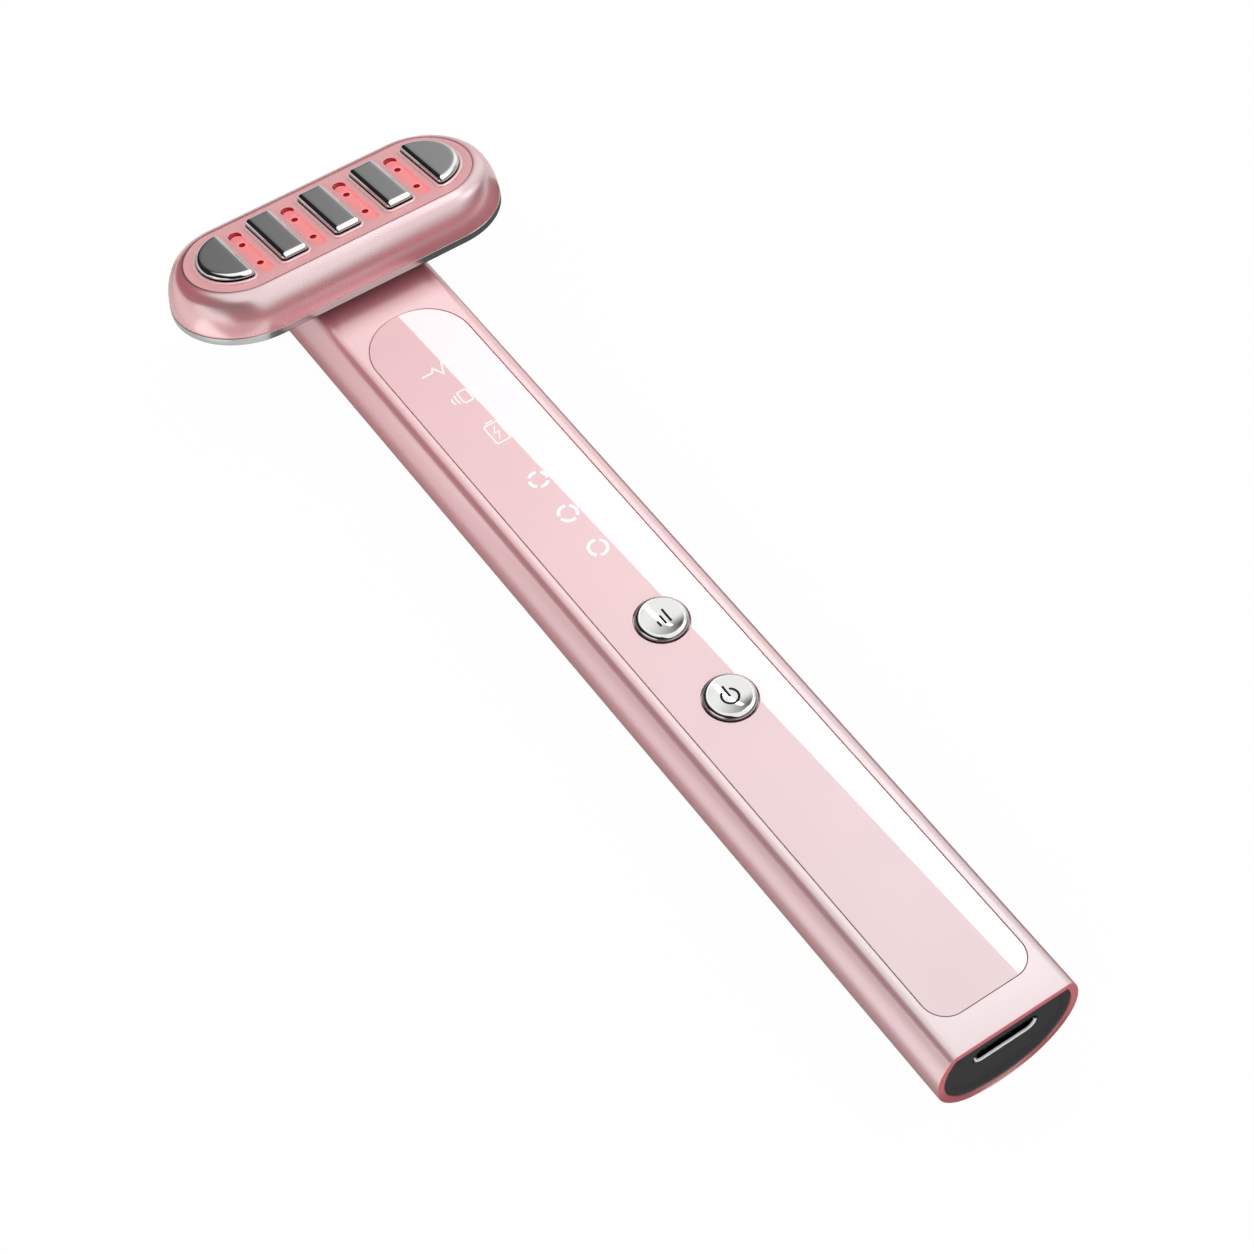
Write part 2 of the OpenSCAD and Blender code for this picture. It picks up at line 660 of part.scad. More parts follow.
// A bar or D with rounded shoulders: its outline cut by rounded profiles both ways
module electrode(i) in_head() {
    k = bar_shoulder;
    half = abs(i) < 2 ? bar_w / 2 : end_r + 5;
    x0 = abs(i) < 2 ? i * bar_pitch : sign(i) * (end_flat + half);
    intersection() {
        rise(seat, bar_top + 1) electrode_outline(i, 0);
        along_y(-9, 9) translate([x0, 0]) polygon(plate_outline(2 * half, -5, bar_top, 1, k));
        if (abs(i) < 2)
            rotate([90, 0, 90]) translate([0, 0, x0 - 5]) linear_extrude(10)
                polygon(plate_outline(bar_l, -5, bar_top, 1, k));
        else
            translate([sign(i) * end_c, 0, 0]) rotate_extrude() polygon(concat(
                [[0, -5], [end_r, -5]], arc([end_r - k, bar_top - k], k, 0, 90), [[0, bar_top]]));
    }
    disc(stud_r, head_board_bottom - 0.3, seat, studs[i + 2]);
}

module electrode_left() color([0.8, 0.8, 0.82]) electrode(-2);
module electrode_bar_left() color([0.8, 0.8, 0.82]) electrode(-1);
module electrode_bar_centre() color([0.8, 0.8, 0.82]) electrode(0);
module electrode_bar_right() color([0.8, 0.8, 0.82]) electrode(1);
module electrode_right() color([0.8, 0.8, 0.82]) electrode(2);

// Bores through a layer of the head for the electrode studs and the lamps
module layer_holes(stud_hole_r, lamp_well_r) {
    for (p = studs) disc(stud_hole_r, -6, 0, p);
    for (x = lamp_x, y = [-lamp_y, lamp_y]) disc(lamp_well_r, -6, 0, [x, y]);
}

module heater_film() color([0.75, 0.45, 0.2]) in_head() difference() {
    obround_prism(13.2, 7.2, film_bottom, plate_bottom);
    layer_holes(1.1, 0.7);
}

module lamp_baffle() color([0.95, 0.95, 0.95]) in_head() difference() {
    obround_prism(13, 6.6, head_board_top, film_bottom);
    layer_holes(1.1, 1.3);
}

module head_board() color([0.1, 0.35, 0.2]) in_head() difference() {
    obround_prism(13, 6.6, head_board_bottom, head_board_top);
    for (p = studs) disc(stud_r + 0.02, -6, 0, p);
}

module red_lamps() color([0.8, 0.05, 0.08]) in_head()
    for (x = lamp_x, y = [-lamp_y, lamp_y]) {
        box([x - 0.8, y - 0.6, head_board_top], [x + 0.8, y + 0.6, head_board_top + 0.5]);
        disc(0.44, head_board_top + 0.4, -0.15, [x, y]);
    }

module head_socket() color([0.9, 0.88, 0.8]) in_head()
    box([-2.2, -1.6, head_board_bottom - 1.2], [2.2, 1.6, head_board_bottom]);

handle_tube();
control_panel();
light_guide();
main_board();
indicator_leds();
main_chip();
mode_switch();
power_switch();
chassis();
board_screws();
battery();
battery_pad();
battery_tabs();
charge_board();
charge_chip();
board_link();
usb_shell();
usb_tongue();
end_cap();
motor_sleeve();
motor_can();
motor_contacts();
motor_shaft();
eccentric_weight();
mode_button();
mode_plunger();
mode_clip();
power_button();
power_plunger();
power_clip();
swivel_bush();
friction_washer();
stop_pin();
head_lead();
lead_socket();
head_base();
base_screws();
head_shell();
face_plate();
electrode_seals();
electrode_left();
electrode_bar_left();
electrode_bar_centre();
electrode_bar_right();
electrode_right();
heater_film();
lamp_baffle();
head_board();
red_lamps();
head_socket();
swivel_post();
post_screws();
wave_washer();
retaining_ring();
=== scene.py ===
# %% [markdown]
# # A facial toning wand
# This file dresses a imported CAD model. The model is loaded first, as a fixed frame: every new
# piece is worked out in the same place as the solid that it stands for, and never moves it.
# %% Load the frame
import json
from math import acos, asin, atan2, cos, degrees, radians, sin, sqrt

import bmesh
import bpy
import numpy as np
from mathutils import Matrix, Vector, geometry


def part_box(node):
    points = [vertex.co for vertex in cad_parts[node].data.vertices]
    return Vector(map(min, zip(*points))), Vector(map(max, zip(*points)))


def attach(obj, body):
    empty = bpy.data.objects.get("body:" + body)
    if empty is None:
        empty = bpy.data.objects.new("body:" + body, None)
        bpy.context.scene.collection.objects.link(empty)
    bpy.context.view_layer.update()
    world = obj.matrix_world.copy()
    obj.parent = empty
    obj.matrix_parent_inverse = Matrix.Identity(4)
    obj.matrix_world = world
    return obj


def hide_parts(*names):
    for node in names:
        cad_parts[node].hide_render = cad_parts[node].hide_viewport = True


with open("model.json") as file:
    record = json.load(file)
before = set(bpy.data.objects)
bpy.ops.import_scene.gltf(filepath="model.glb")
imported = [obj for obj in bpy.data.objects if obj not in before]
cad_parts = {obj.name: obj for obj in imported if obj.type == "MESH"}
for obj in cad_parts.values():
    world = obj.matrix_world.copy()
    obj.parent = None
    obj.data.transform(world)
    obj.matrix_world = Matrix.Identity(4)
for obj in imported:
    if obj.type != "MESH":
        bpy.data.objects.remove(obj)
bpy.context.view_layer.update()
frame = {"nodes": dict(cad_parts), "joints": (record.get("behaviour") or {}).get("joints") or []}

# %% [markdown]
# ## Two working frames
# The sizes below are in millimetres. The handle's frame has y = 0 at its open end and z = 0 on
# its flat face. The head is tilted, so it has a frame of its own, whose z = 0 is the plane of
# the red lamps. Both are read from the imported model: from two boxes and the swivel's axis.
# %% Frames
MM = 0.001
END_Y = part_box("handle_tube")[0].y / MM
FACE_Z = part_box("control_panel")[1].z / MM
SEAT_H = -6.94                      # height of the neck's seat in the head's frame

swivel = next(j for j in frame["joints"] if j["name"] == "head_swivel")
axis = np.array(swivel["axis"])
PITCH = atan2(axis[1], axis[2])
head_centre = np.array(swivel["pos_m"]) / MM - axis * SEAT_H
HEAD_Y, HEAD_Z = head_centre[1] - END_Y, head_centre[2] - FACE_Z
HEAD_AXES = np.array([[1, 0, 0], [0, cos(PITCH), -sin(PITCH)], [0, sin(PITCH), cos(PITCH)]])


def on_handle(p):
    """Handle frame to shared frame: (x, y + END_Y, z + FACE_Z)."""
    return p + [0, END_Y, FACE_Z]


def on_end(p):
    """Loops drawn on the open end, (across, up, depth), to the shared frame."""
    return on_handle(p[:, [0, 2, 1]])


def on_head(p):
    """Head frame to shared frame: the head's centre plus x, y and z times its tilted axes."""
    return head_centre + p @ HEAD_AXES


def size_in_head(node):
    """Lowest and highest corner of a CAD node, measured along the head's own axes."""
    mesh = frame["nodes"][node].data
    p = np.empty(len(mesh.vertices) * 3)
    mesh.vertices.foreach_get("co", p)
    p = (p.reshape(-1, 3) / MM - head_centre) @ HEAD_AXES.T
    return p.min(0), p.max(0)


print("pitch", round(degrees(PITCH), 2), "head centre", head_centre.round(2))

# %% [markdown]
# ## Outlines
# Nearly every outline here is made of straight runs and quarter circles. An outline that is
# drawn in by a small amount keeps its straight runs and loses that much of each radius. A stack
# of such outlines, each a little further in and up, is what rounds an edge.
# %% Arcs and outlines
def arc(centre, radius, start, end, steps=12):
    """centre + radius (cos a, sin a), for equal steps of a from start to end in degrees."""
    a = np.radians(np.linspace(start, end, steps + 1))
    return np.stack([centre[0] + radius * np.cos(a), centre[1] + radius * np.sin(a)], 1)


def circle(centre, radius, steps=48):
    return arc(centre, radius, 7, 367, steps)[:-1]


def plate(low, high, low_r, high_r, inset=0.0, steps=12):
    """Rectangle drawn in by inset, its corners quarter circles of radius r - inset."""
    x0, y0 = np.add(low, inset)
    x1, y1 = np.subtract(high, inset)
    a, b = max(low_r - inset, 0.02), max(high_r - inset, 0.02)
    return np.concatenate([
        arc((x1 - a, y0 + a), a, -90, 0, steps), arc((x1 - b, y1 - b), b, 0, 90, steps),
        arc((x0 + b, y1 - b), b, 90, 180, steps), arc((x0 + a, y0 + a), a, 180, 270, steps)])


def obround(straight, radius, steps=40):
    """Two half circles about (straight, 0) and (-straight, 0), joined by straight runs."""
    return np.concatenate([arc((straight, 0), radius, -90, 90, steps),
                           arc((-straight, 0), radius, 90, 270, steps)])


def up(loop, height):
    """Lifts an outline (x, y) to a height: (x, y, height)."""
    return np.column_stack([loop, np.full(len(loop), height)])


def wall(loop, *heights):
    """The same outline at several heights."""
    return [up(loop, height) for height in heights]


def round_over(width, top, radius, steps=6):
    """Rows (inset, height) of an edge that turns a quarter circle from side to top, and one
    more row a little further in, so that the flat top is shaded flat."""
    turn = np.radians(np.linspace(0, 90, steps + 1))
    rows = np.stack([width + radius * (1 - np.cos(turn)), top - radius * (1 - np.sin(turn))], 1)
    return np.vstack([rows, [width + 1.6 * radius, top]])


# %% [markdown]
# ## From outlines to a closed skin
# A loft joins each outline to the next with quads. A lid closes an outline, round its holes.
# Points that fall together are welded, so poles and seams close, and the number of open edges
# that is printed for each piece should be 0.
# %% Skins
class Skin:
    def __init__(self):
        self.points, self.faces, self.count = [], [], 0

    def add(self, points, faces):
        self.points.append(np.asarray(points, float))
        self.faces += (np.asarray(faces) + self.count).tolist()
        self.count += len(points)

    def loft(self, rows, closed=True):
        """Quads between row i and row i + 1; a closed row also joins its last point to its first."""
        rows = np.asarray(rows, float)
        ids = np.arange(rows.shape[0] * rows.shape[1]).reshape(rows.shape[:2])
        near = ids if closed else ids[:, :-1]
        far = np.roll(ids, -1, 1) if closed else ids[:, 1:]
        quads = np.stack([near[:-1], far[:-1], far[1:], near[1:]], -1).reshape(-1, 4)
        self.add(rows.reshape(-1, 3), quads)
        return self

    def lid(self, *loops):
        """Flat triangles inside the first loop and outside the others. Blender's filler may step
        over points on a straight run, so a triangle takes the points that its side skips."""
        kept = [p[np.linalg.norm(p - np.roll(p, 1, 0), axis=1) > 1e-4] for p in loops]
        ends = np.cumsum([0] + [len(p) for p in kept])
        triangles = geometry.tessellate_polygon([p.tolist() for p in kept])
        used = {}
        for t in triangles:
            for pair in zip(t, (*t[1:], t[0])):
                used[frozenset(pair)] = used.get(frozenset(pair), 0) + 1
        faces = []
        for t in triangles:
            sides = [self.run(i, j, ends, used) for i, j in zip(t, (*t[1:], t[0]))]
            long = [k for k in range(3) if len(sides[k]) > 2]
            if len(long) == 1:
                path, corner = sides[long[0]], t[(long[0] + 2) % 3]
                faces += [[i, j, corner] for i, j in zip(path[:-1], path[1:])]
            else:
                faces.append([i for path in sides for i in path[:-1]])
        self.points.append(np.concatenate(kept))
        self.faces += [[v + self.count for v in face] for face in faces]
        self.count += int(ends[-1])
        return self

    @staticmethod
    def run(i, j, ends, used):
        """Points from i to j along their loop, if the side i-j has no second triangle."""
        k = np.searchsorted(ends, i, "right")
        low, n = int(ends[k - 1]), int(ends[k] - ends[k - 1])
        ahead = (j - i) % n
        if used[frozenset((i, j))] > 1 or not 1 < ahead < n - 1 or not low <= j < low + n:
            return [i, j]
        step, steps = (1, ahead) if ahead < n - ahead else (-1, n - ahead)
        return [low + (i - low + step * m) % n for m in range(steps + 1)]


WELD = 2e-7


def make_object(name, skin, place):
    mesh = bpy.data.meshes.new(name)
    mesh.from_pydata((place(np.concatenate(skin.points)) * MM).tolist(), [], skin.faces)
    work = bmesh.new()
    work.from_mesh(mesh)
    bmesh.ops.remove_doubles(work, verts=work.verts, dist=WELD)
    bmesh.ops.recalc_face_normals(work, faces=work.faces)
    work.to_mesh(mesh)
    work.free()
    thing = bpy.data.objects.new(name, mesh)
    bpy.context.scene.collection.objects.link(thing)
    return thing


def carve(thing, *cutters):
    """Takes the cutters' solids away from a piece, one after the other."""
    for cutter in cutters:
        cut = thing.modifiers.new("cut", "BOOLEAN")
        cut.operation, cut.solver, cut.object = "DIFFERENCE", "MANIFOLD", cutter
        ready = thing.evaluated_get(bpy.context.evaluated_depsgraph_get())
        mesh = bpy.data.meshes.new_from_object(ready)
        thing.modifiers.clear()
        thing.data = mesh
        bpy.data.objects.remove(cutter)
    return thing


def finish_piece(thing, body, slot, material, *nodes, sharp=35):
    """Smooth shading with sharp edges where faces turn, and the piece's place in the frame."""
    mesh = thing.data
    mesh.shade_smooth()
    mesh.set_sharp_from_angle(angle=radians(sharp))
    mesh.materials.clear()
    mesh.materials.append(material)
    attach(thing, body)
    if nodes:
        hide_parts(*nodes)
    work = bmesh.new()
    work.from_mesh(mesh)
    loose = sum(not e.is_manifold for e in work.edges)
    print(f"{thing.name}: {len(mesh.vertices)} points, {len(mesh.polygons)} faces, open edges {loose}")
    work.free()
    return thing


# %% [markdown]
# ## Finishes
# The wand is satin metallic paint, glossy plastic and chrome. A colour alone would look like a
# drawing, so each finish has a fine grain in its height and its roughness. What changes over a
# surface is worked out by nodes. Sums and products are easier to read than links, so a small
# class turns plus, minus and times into Math nodes.
# %% Node helpers
def srgb(r, g, b):
    """Display values 0 to 255, as the linear colour that renders as them."""
    c = np.array([r, g, b]) / 255
    return (*np.where(c < 0.04045, c / 12.92, ((c + 0.055) / 1.055) ** 2.4), 1.0)


class Worked:
    """A value that a node works out for each point of a surface."""

    def __init__(self, out):
        self.out = out

    def __add__(self, other):
        return math_node("ADD", self, other)

    def __sub__(self, other):
        return math_node("SUBTRACT", self, other)

    def __rsub__(self, other):
        return math_node("SUBTRACT", other, self)

    def __mul__(self, other):
        return math_node("MULTIPLY", self, other)

    def __abs__(self):
        return math_node("ABSOLUTE", self)


def feed(socket, value):
    """Links an output to a socket, or sets the socket to a plain number or colour."""
    value = getattr(value, "out", value)
    if isinstance(value, bpy.types.NodeSocket):
        socket.id_data.links.new(value, socket)
    else:
        socket.default_value = value


def fill(node, **inputs):
    """Feeds the named sockets of a node; Base_Color stands for the socket Base Color."""
    for name, value in inputs.items():
        feed(node.inputs[name.replace("_", " ")], value)
    return node


def add_node(tree, kind, **inputs):
    return fill(tree.nodes.new("ShaderNode" + kind), **inputs)


def math_node(operation, *values):
    """One Math node, in the tree that its values come from."""
    values = [getattr(v, "out", v) for v in values]
    node = add_node(next(v.id_data for v in values if isinstance(v, bpy.types.NodeSocket)), "Math")
    node.operation = operation
    for socket, value in zip(node.inputs, values):
        feed(socket, value)
    return Worked(node.outputs[0])


def blend_colours(share, first, second):
    """The first colour where share is 0, the second where it is 1."""
    node = add_node(share.out.id_data, "Mix", Factor=share)
    node.data_type = "RGBA"
    feed(node.inputs[6], first)
    feed(node.inputs[7], second)
    return Worked(node.outputs[2])


def shader_of(material):
    return material.node_tree.nodes["Principled BSDF"]


# %% [markdown]
# Grain and cloudiness are one shared node group, built once and placed in every material with
# its own values.
# %% The shared grain group
GRAIN_SCALE, CLOUD_SCALE, GRAIN_DEPTH = 6000.0, 90.0, 0.02 * MM


def make_grain_group():
    """Grain: fine noise from 0 to 1. Cloud: broad noise from 0 to 1. Scales are per metre."""
    group = bpy.data.node_groups.new("fine_grain", "ShaderNodeTree")
    face = group.interface
    scales = {"Grain": GRAIN_SCALE, "Cloud": CLOUD_SCALE}
    for name, value in scales.items():
        scale = face.new_socket(name + " Scale", in_out="INPUT", socket_type="NodeSocketFloat")
        scale.default_value = value
    for name in scales:
        face.new_socket(name, in_out="OUTPUT", socket_type="NodeSocketFloat")
    start, end = group.nodes.new("NodeGroupInput"), group.nodes.new("NodeGroupOutput")
    place = add_node(group, "TexCoord").outputs["Object"]
    for name in scales:
        noise = add_node(group, "TexNoise", Detail=3.0, Vector=place, Scale=start.outputs[name + " Scale"])
        feed(end.inputs[name], noise.outputs["Fac"])
    return group


grain_group = make_grain_group()
print("group", grain_group.name, [s.name for s in grain_group.interface.items_tree])

# %% [markdown]
# The starting point of every finish: a Principled shader whose colour runs a little between two
# tones with the grain, and whose roughness and height follow it. Values that are the same all
# over are set on the shader's own sockets.
# %% A finish with grain
def finish(name, colour, rough, metal=0.0, tone=0.06, rough_spread=0.08, bump=0.05,
           grain_scale=GRAIN_SCALE, **plain):
    """tone: how far the grain darkens the colour. plain: further sockets with one value."""
    material = bpy.data.materials.new(name)
    material.use_nodes = True
    grain = material.node_tree.nodes.new("ShaderNodeGroup")
    grain.node_tree = grain_group
    fill(grain, Grain_Scale=grain_scale, Cloud_Scale=CLOUD_SCALE)
    mixed = Worked(grain.outputs["Grain"]) * 0.6 + Worked(grain.outputs["Cloud"]) * 0.4
    darker = (*(c * (1 - 2 * tone) for c in colour[:3]), 1.0)
    shader = fill(shader_of(material), Base_Color=blend_colours(mixed, darker, colour),
                  Roughness=(mixed - 0.5) * (2 * rough_spread) + rough, Metallic=metal, **plain)
    if bump:
        lift = add_node(material.node_tree, "Bump", Strength=bump, Distance=GRAIN_DEPTH,
                        Height=grain.outputs["Grain"])
        fill(shader, Normal=lift.outputs["Normal"])
    return material


LACQUER = {"Coat_Weight": 1.0, "Coat_IOR": 2.0}
POLISHED = {"metal": 1.0, "tone": 0.01, "rough_spread": 0.02, "bump": 0.01}
rose_metal = finish("rose_satin", srgb(226, 131, 139), 0.36, tone=0.02, bump=0.08,
                    IOR=3.9, Coat_Roughness=0.3, **LACQUER)
head_pink = finish("head_satin", srgb(224, 121, 129), 0.27, tone=0.02, bump=0.006,
                   rough_spread=0.015, IOR=4.1, Coat_Roughness=0.22, **LACQUER)
panel_gloss = finish("panel_gloss", srgb(226, 164, 169), 0.36, metal=0.3, tone=0.01, bump=0.0,
                     IOR=2.8, Coat_Roughness=0.01, **LACQUER)
mark_white = finish("mark_white", srgb(250, 246, 246), 0.3, tone=0.01, rough_spread=0.02,
                    bump=0.0, Coat_Roughness=0.01, Emission_Color=(1, 1, 1, 1),
                    Emission_Strength=0.16, **LACQUER)
clear_lip = finish("clear_lip", srgb(240, 165, 166), 0.05, tone=0.02, rough_spread=0.02,
                   bump=0.0, IOR=2.6, Coat_Roughness=0.02, Emission_Color=(0, 0, 0, 1),
                   Emission_Strength=0.25, **LACQUER)
symbol_black = finish("symbol_black", srgb(12, 12, 13), 0.6, IOR=1.3)
chrome = finish("electrode_chrome", srgb(228, 228, 228), 0.05, **POLISHED)
button_metal = finish("button_chrome", srgb(214, 214, 212), 0.07, **POLISHED)
base_metal = finish("base_silver", srgb(212, 210, 210), 0.2, metal=1.0, tone=0.03)
cap_black = finish("cap_black", srgb(56, 57, 56), 0.34, bump=0.15)
port_metal = finish("port_metal", srgb(215, 216, 218), 0.14, metal=1.0, bump=0.03)
print("finishes so far", len(bpy.data.materials))

# %% [markdown]
# Paint, painted light and painted shade seldom lie evenly. These helpers make a share from 0 to 1
# out of the place on the object, and blend a colour in by it. The place is in millimetres, in the
# shared frame or in the head's own frame.
# %% Shares by place
def soft_step(value, low, high):
    """0 below low, 1 above high, and a smooth rise from one to the other."""
    tree = value.out.id_data
    node = add_node(tree, "MapRange", Value=value, From_Min=low, From_Max=high)
    node.interpolation_type = "SMOOTHSTEP"
    return Worked(node.outputs["Result"])


def falling(value, low, high):
    """1 below low, 0 above high."""
    return 1 - soft_step(value, low, high)


def larger(first, second):
    return math_node("MAXIMUM", first, second)


def place_in_mm(material, rotation=(0, 0, 0), location=(0, 0, 0)):
    """The three coordinates of a point in millimetres, in a turned and moved frame."""
    tree = material.node_tree
    turned = add_node(tree, "Mapping", Scale=(1 / MM,) * 3, Rotation=rotation, Location=location,
                      Vector=add_node(tree, "TexCoord").outputs["Object"])
    return [Worked(out) for out in add_node(tree, "SeparateXYZ", Vector=turned.outputs[0]).outputs]


def place_on_head(material):
    """The same in the head's frame: turned by the pitch, with the head's centre moved to 0."""
    return place_in_mm(material, (PITCH, 0, 0), tuple(-head_centre @ HEAD_AXES.T))


def tint(material, share, colour, name="Base Color"):
    """Blends a colour over what already feeds the shader's socket, by a share from 0 to 1."""
    socket = shader_of(material).inputs[name]
    under = Worked(socket.links[0].from_socket) if socket.links else tuple(socket.default_value)
    feed(socket, blend_colours(share, under, colour))


# %% [markdown]
# These tints are painted light and shade. The handle is painted paler towards the open end, most
# of all on its flat face, as painted light. The thin cut edge of the tube is painted a deeper rose,
# and a still deeper one low down, as painted shade. On the head the shoulder is painted darker than
# the flank, and low on the right the flank is painted deeper in colour, both as painted shade; on
# the right the clear coat is thinner. The rim round the face plate is bare metal without coat, and
# is painted a greyer, darker rose, as painted shade.
# %% Painted light and shade that change with place
STRAIGHT, PLATE_R = 15.0, 7.7


def painted_light_to_end(material, pale, length=150.0):
    """Painted light: tints a length in mm before the open end, and gives back the coordinates."""
    place = place_in_mm(material)
    tint(material, falling(place[1], END_Y - 5, END_Y + length), pale)
    return place


# Painted light: the panel and the tube are painted paler towards the open end.
painted_light_to_end(panel_gloss, srgb(203, 172, 176))
x, y, z = painted_light_to_end(rose_metal, srgb(204, 137, 143))
# Painted light on the flat face near the open end, and painted shade on the cut edge, deeper low down.
flat_face_light = soft_step(z, FACE_Z - 0.25, FACE_Z - 0.05) * falling(y, END_Y - 5, END_Y + 90)
cut_edge_shade = falling(y, END_Y + 0.02, END_Y + 0.2)
for share, colour in ((flat_face_light, srgb(190, 148, 151)), (cut_edge_shade, srgb(245, 110, 125)),
                      (cut_edge_shade * falling(z, 5.0, 9.0), srgb(215, 66, 84))):
    tint(rose_metal, share, colour)

x, y, z = place_on_head(head_pink)
past_end = larger(abs(x) - STRAIGHT, 0.0)
from_line = math_node("SQRT", past_end * past_end + y * y)
rim = falling(from_line, PLATE_R + 0.05, PLATE_R + 0.55)
# Painted shade: the shoulder and the low right flank are painted darker, the rim greyer and darker.
shoulder = soft_step(z, -2.8, -0.8) * falling(y, -7.5, -2.0)
on_right = soft_step(x, -2.0, 9.0) * falling(x, 16.0, 21.0)
low_flank_shade = on_right * falling(z, -3.5, -2.0)
for share, colour in ((shoulder, srgb(190, 122, 128)), (low_flank_shade, srgb(200, 101, 109)),
                      (rim, srgb(184, 137, 141))):
    tint(head_pink, share, colour)
# The rim is bare metal, and the coat is taken off on the right and on the rim, which dims their highlights.
fill(shader_of(head_pink), Metallic=rim, Coat_Weight=1 - larger(on_right, rim))
print("nodes in the head's paint", len(head_pink.node_tree.nodes))

# %% [markdown]
# ## The handle's tube
# The real tube is one metal drawing with a D-shaped section: a flat face, two rounded edges,
# two side arcs and a flatter back. Half of the section is carried along one side, round the far
# end and back along the other side. Near the head the section is cut by the tilted seat.
# %% The section
BACK_R, SIDE_R, SIDE_X, EDGE_R = 14.0, 9.6, 1.24, 1.6
WALL, FACE_WALL = 1.1, 2.2
BACK_Z = BACK_R - FACE_Z
SIDE_Z = BACK_Z - sqrt((BACK_R - SIDE_R) ** 2 - SIDE_X ** 2)
MEETING = degrees(atan2(SIDE_Z - BACK_Z, SIDE_X))


def half_section(inset, top, edge):
    """Back arc, side arc and edge arc, each tangent to the next, then a step on to the flat."""
    low = -top - edge
    reach = sqrt((SIDE_R - inset - edge) ** 2 - (low - SIDE_Z) ** 2)
    turn = degrees(atan2(low - SIDE_Z, reach))
    return np.vstack([arc((0, BACK_Z), BACK_R - inset, -90, MEETING, 10)[:-1],
                      arc((SIDE_X, SIDE_Z), SIDE_R - inset, MEETING, turn, 44)[:-1],
                      arc((SIDE_X + reach, low), edge, turn, 90, 14),
                      [[SIDE_X + reach - 0.2, -top]]])


def section_loop(inset, top, edge):
    right = half_section(inset, top, edge)
    return np.vstack([right, (right * [-1, 1])[-1:0:-1]])


print("section width", round(2 * half_section(0, 0, EDGE_R)[:, 0].max(), 2))

# %% [markdown]
# A station is a place on the way round the handle: a base point on the middle line, and the
# heading in which the section stands out. Where a point would rise above the tilted seat, it is
# held at the place where its section meets the seat, so the cut edge is exact.
# %% Stations along the handle
BASE_BOTTOM = -6.54
NECK_Y = HEAD_Y + BASE_BOTTOM * sin(PITCH)


def seat_height(y, seat):
    """Height of the tilted seat plane above y, in the handle's frame."""
    return HEAD_Z + (seat - (y - HEAD_Y) * sin(PITCH)) / cos(PITCH)


def seat_start(top, seat):
    """The y where the tilted plane meets the flat at -top."""
    return HEAD_Y + (seat + (top + HEAD_Z) * cos(PITCH)) / sin(PITCH)


def handle_rows(inset, top, edge, start, seat, rim):
    """One half section for each station: right side, far end in 48 steps, left side."""
    turn = np.radians(np.linspace(0, 90, 7)) if rim else np.array([np.pi / 2])
    first = start + rim * (1 - np.cos(turn))
    drawn_in = rim * (1 - np.sin(turn))
    cut = seat_start(top, seat)
    steps = [s for s in cut + np.array([0, 0.01, 0.1, 0.3, 0.6, 1.0, 1.6, 2.3]) if s < NECK_Y]
    ys = np.array([*np.linspace(start + rim, min(cut, NECK_Y), 12)[1:-1], *steps, NECK_Y])
    ys, drawn = np.append(first, ys), np.append(drawn_in, np.zeros(len(ys)))
    round_end = np.linspace(0, 180, 65)[1:-1]
    base = np.concatenate([ys, np.full(len(round_end), NECK_Y), ys[::-1]])
    heading = np.radians(np.concatenate([np.zeros(len(ys)), round_end, np.full(len(ys), 180)]))
    drawn = np.concatenate([drawn, np.zeros(len(round_end)), drawn[::-1]])
    shape = np.stack([half_section(inset + d, top + d, edge) for d in drawn])
    rows = np.stack([shape[..., 0] * np.cos(heading)[:, None],
                     base[:, None] + shape[..., 0] * np.sin(heading)[:, None], shape[..., 1]], -1)
    above = rows[..., 2] - seat_height(rows[..., 1], seat)
    return hold_at_seat(rows, above)


def hold_at_seat(rows, above):
    """Points after a row's first crossing of the seat move to the crossing."""
    crossed = (above > 1e-6).any(1)
    i = np.where(crossed, (above > 1e-6).argmax(1), rows.shape[1] - 1)
    r = np.arange(len(rows))
    before, after = above[r, i - 1], above[r, i]
    share = np.where(crossed, before / np.where(crossed, before - after, 1), 1)[:, None]
    meeting = rows[r, i - 1] * (1 - share) + rows[r, i] * share
    held = np.arange(rows.shape[1])[None, :] >= np.where(crossed, i, rows.shape[1])[:, None]
    return np.where(held[..., None], meeting[:, None, :], rows)


RIM = 0.12
tube_rows = handle_rows(0, 0, EDGE_R, 0, SEAT_H, RIM)
print("stations", tube_rows.shape)

# %% [markdown]
# The top is closed in three parts: strips across the flat, a lid that goes round the collar, and
# the tilted seat. The collar is the low round wall that carries the head's friction washer.
# %% The tube's skin
COLLAR_R = 6.6


def strips_across(rows):
    """Pairs of points, right and left, where the flat face begins at each station."""
    tops = rows[:, -1]
    return np.stack([tops, tops[::-1]], 1)[:len(tops) // 2 + 1]


def end_loop(rows):
    """The section at the open end: up one side and down the other."""
    return np.vstack([rows[0], rows[-1][::-1]])


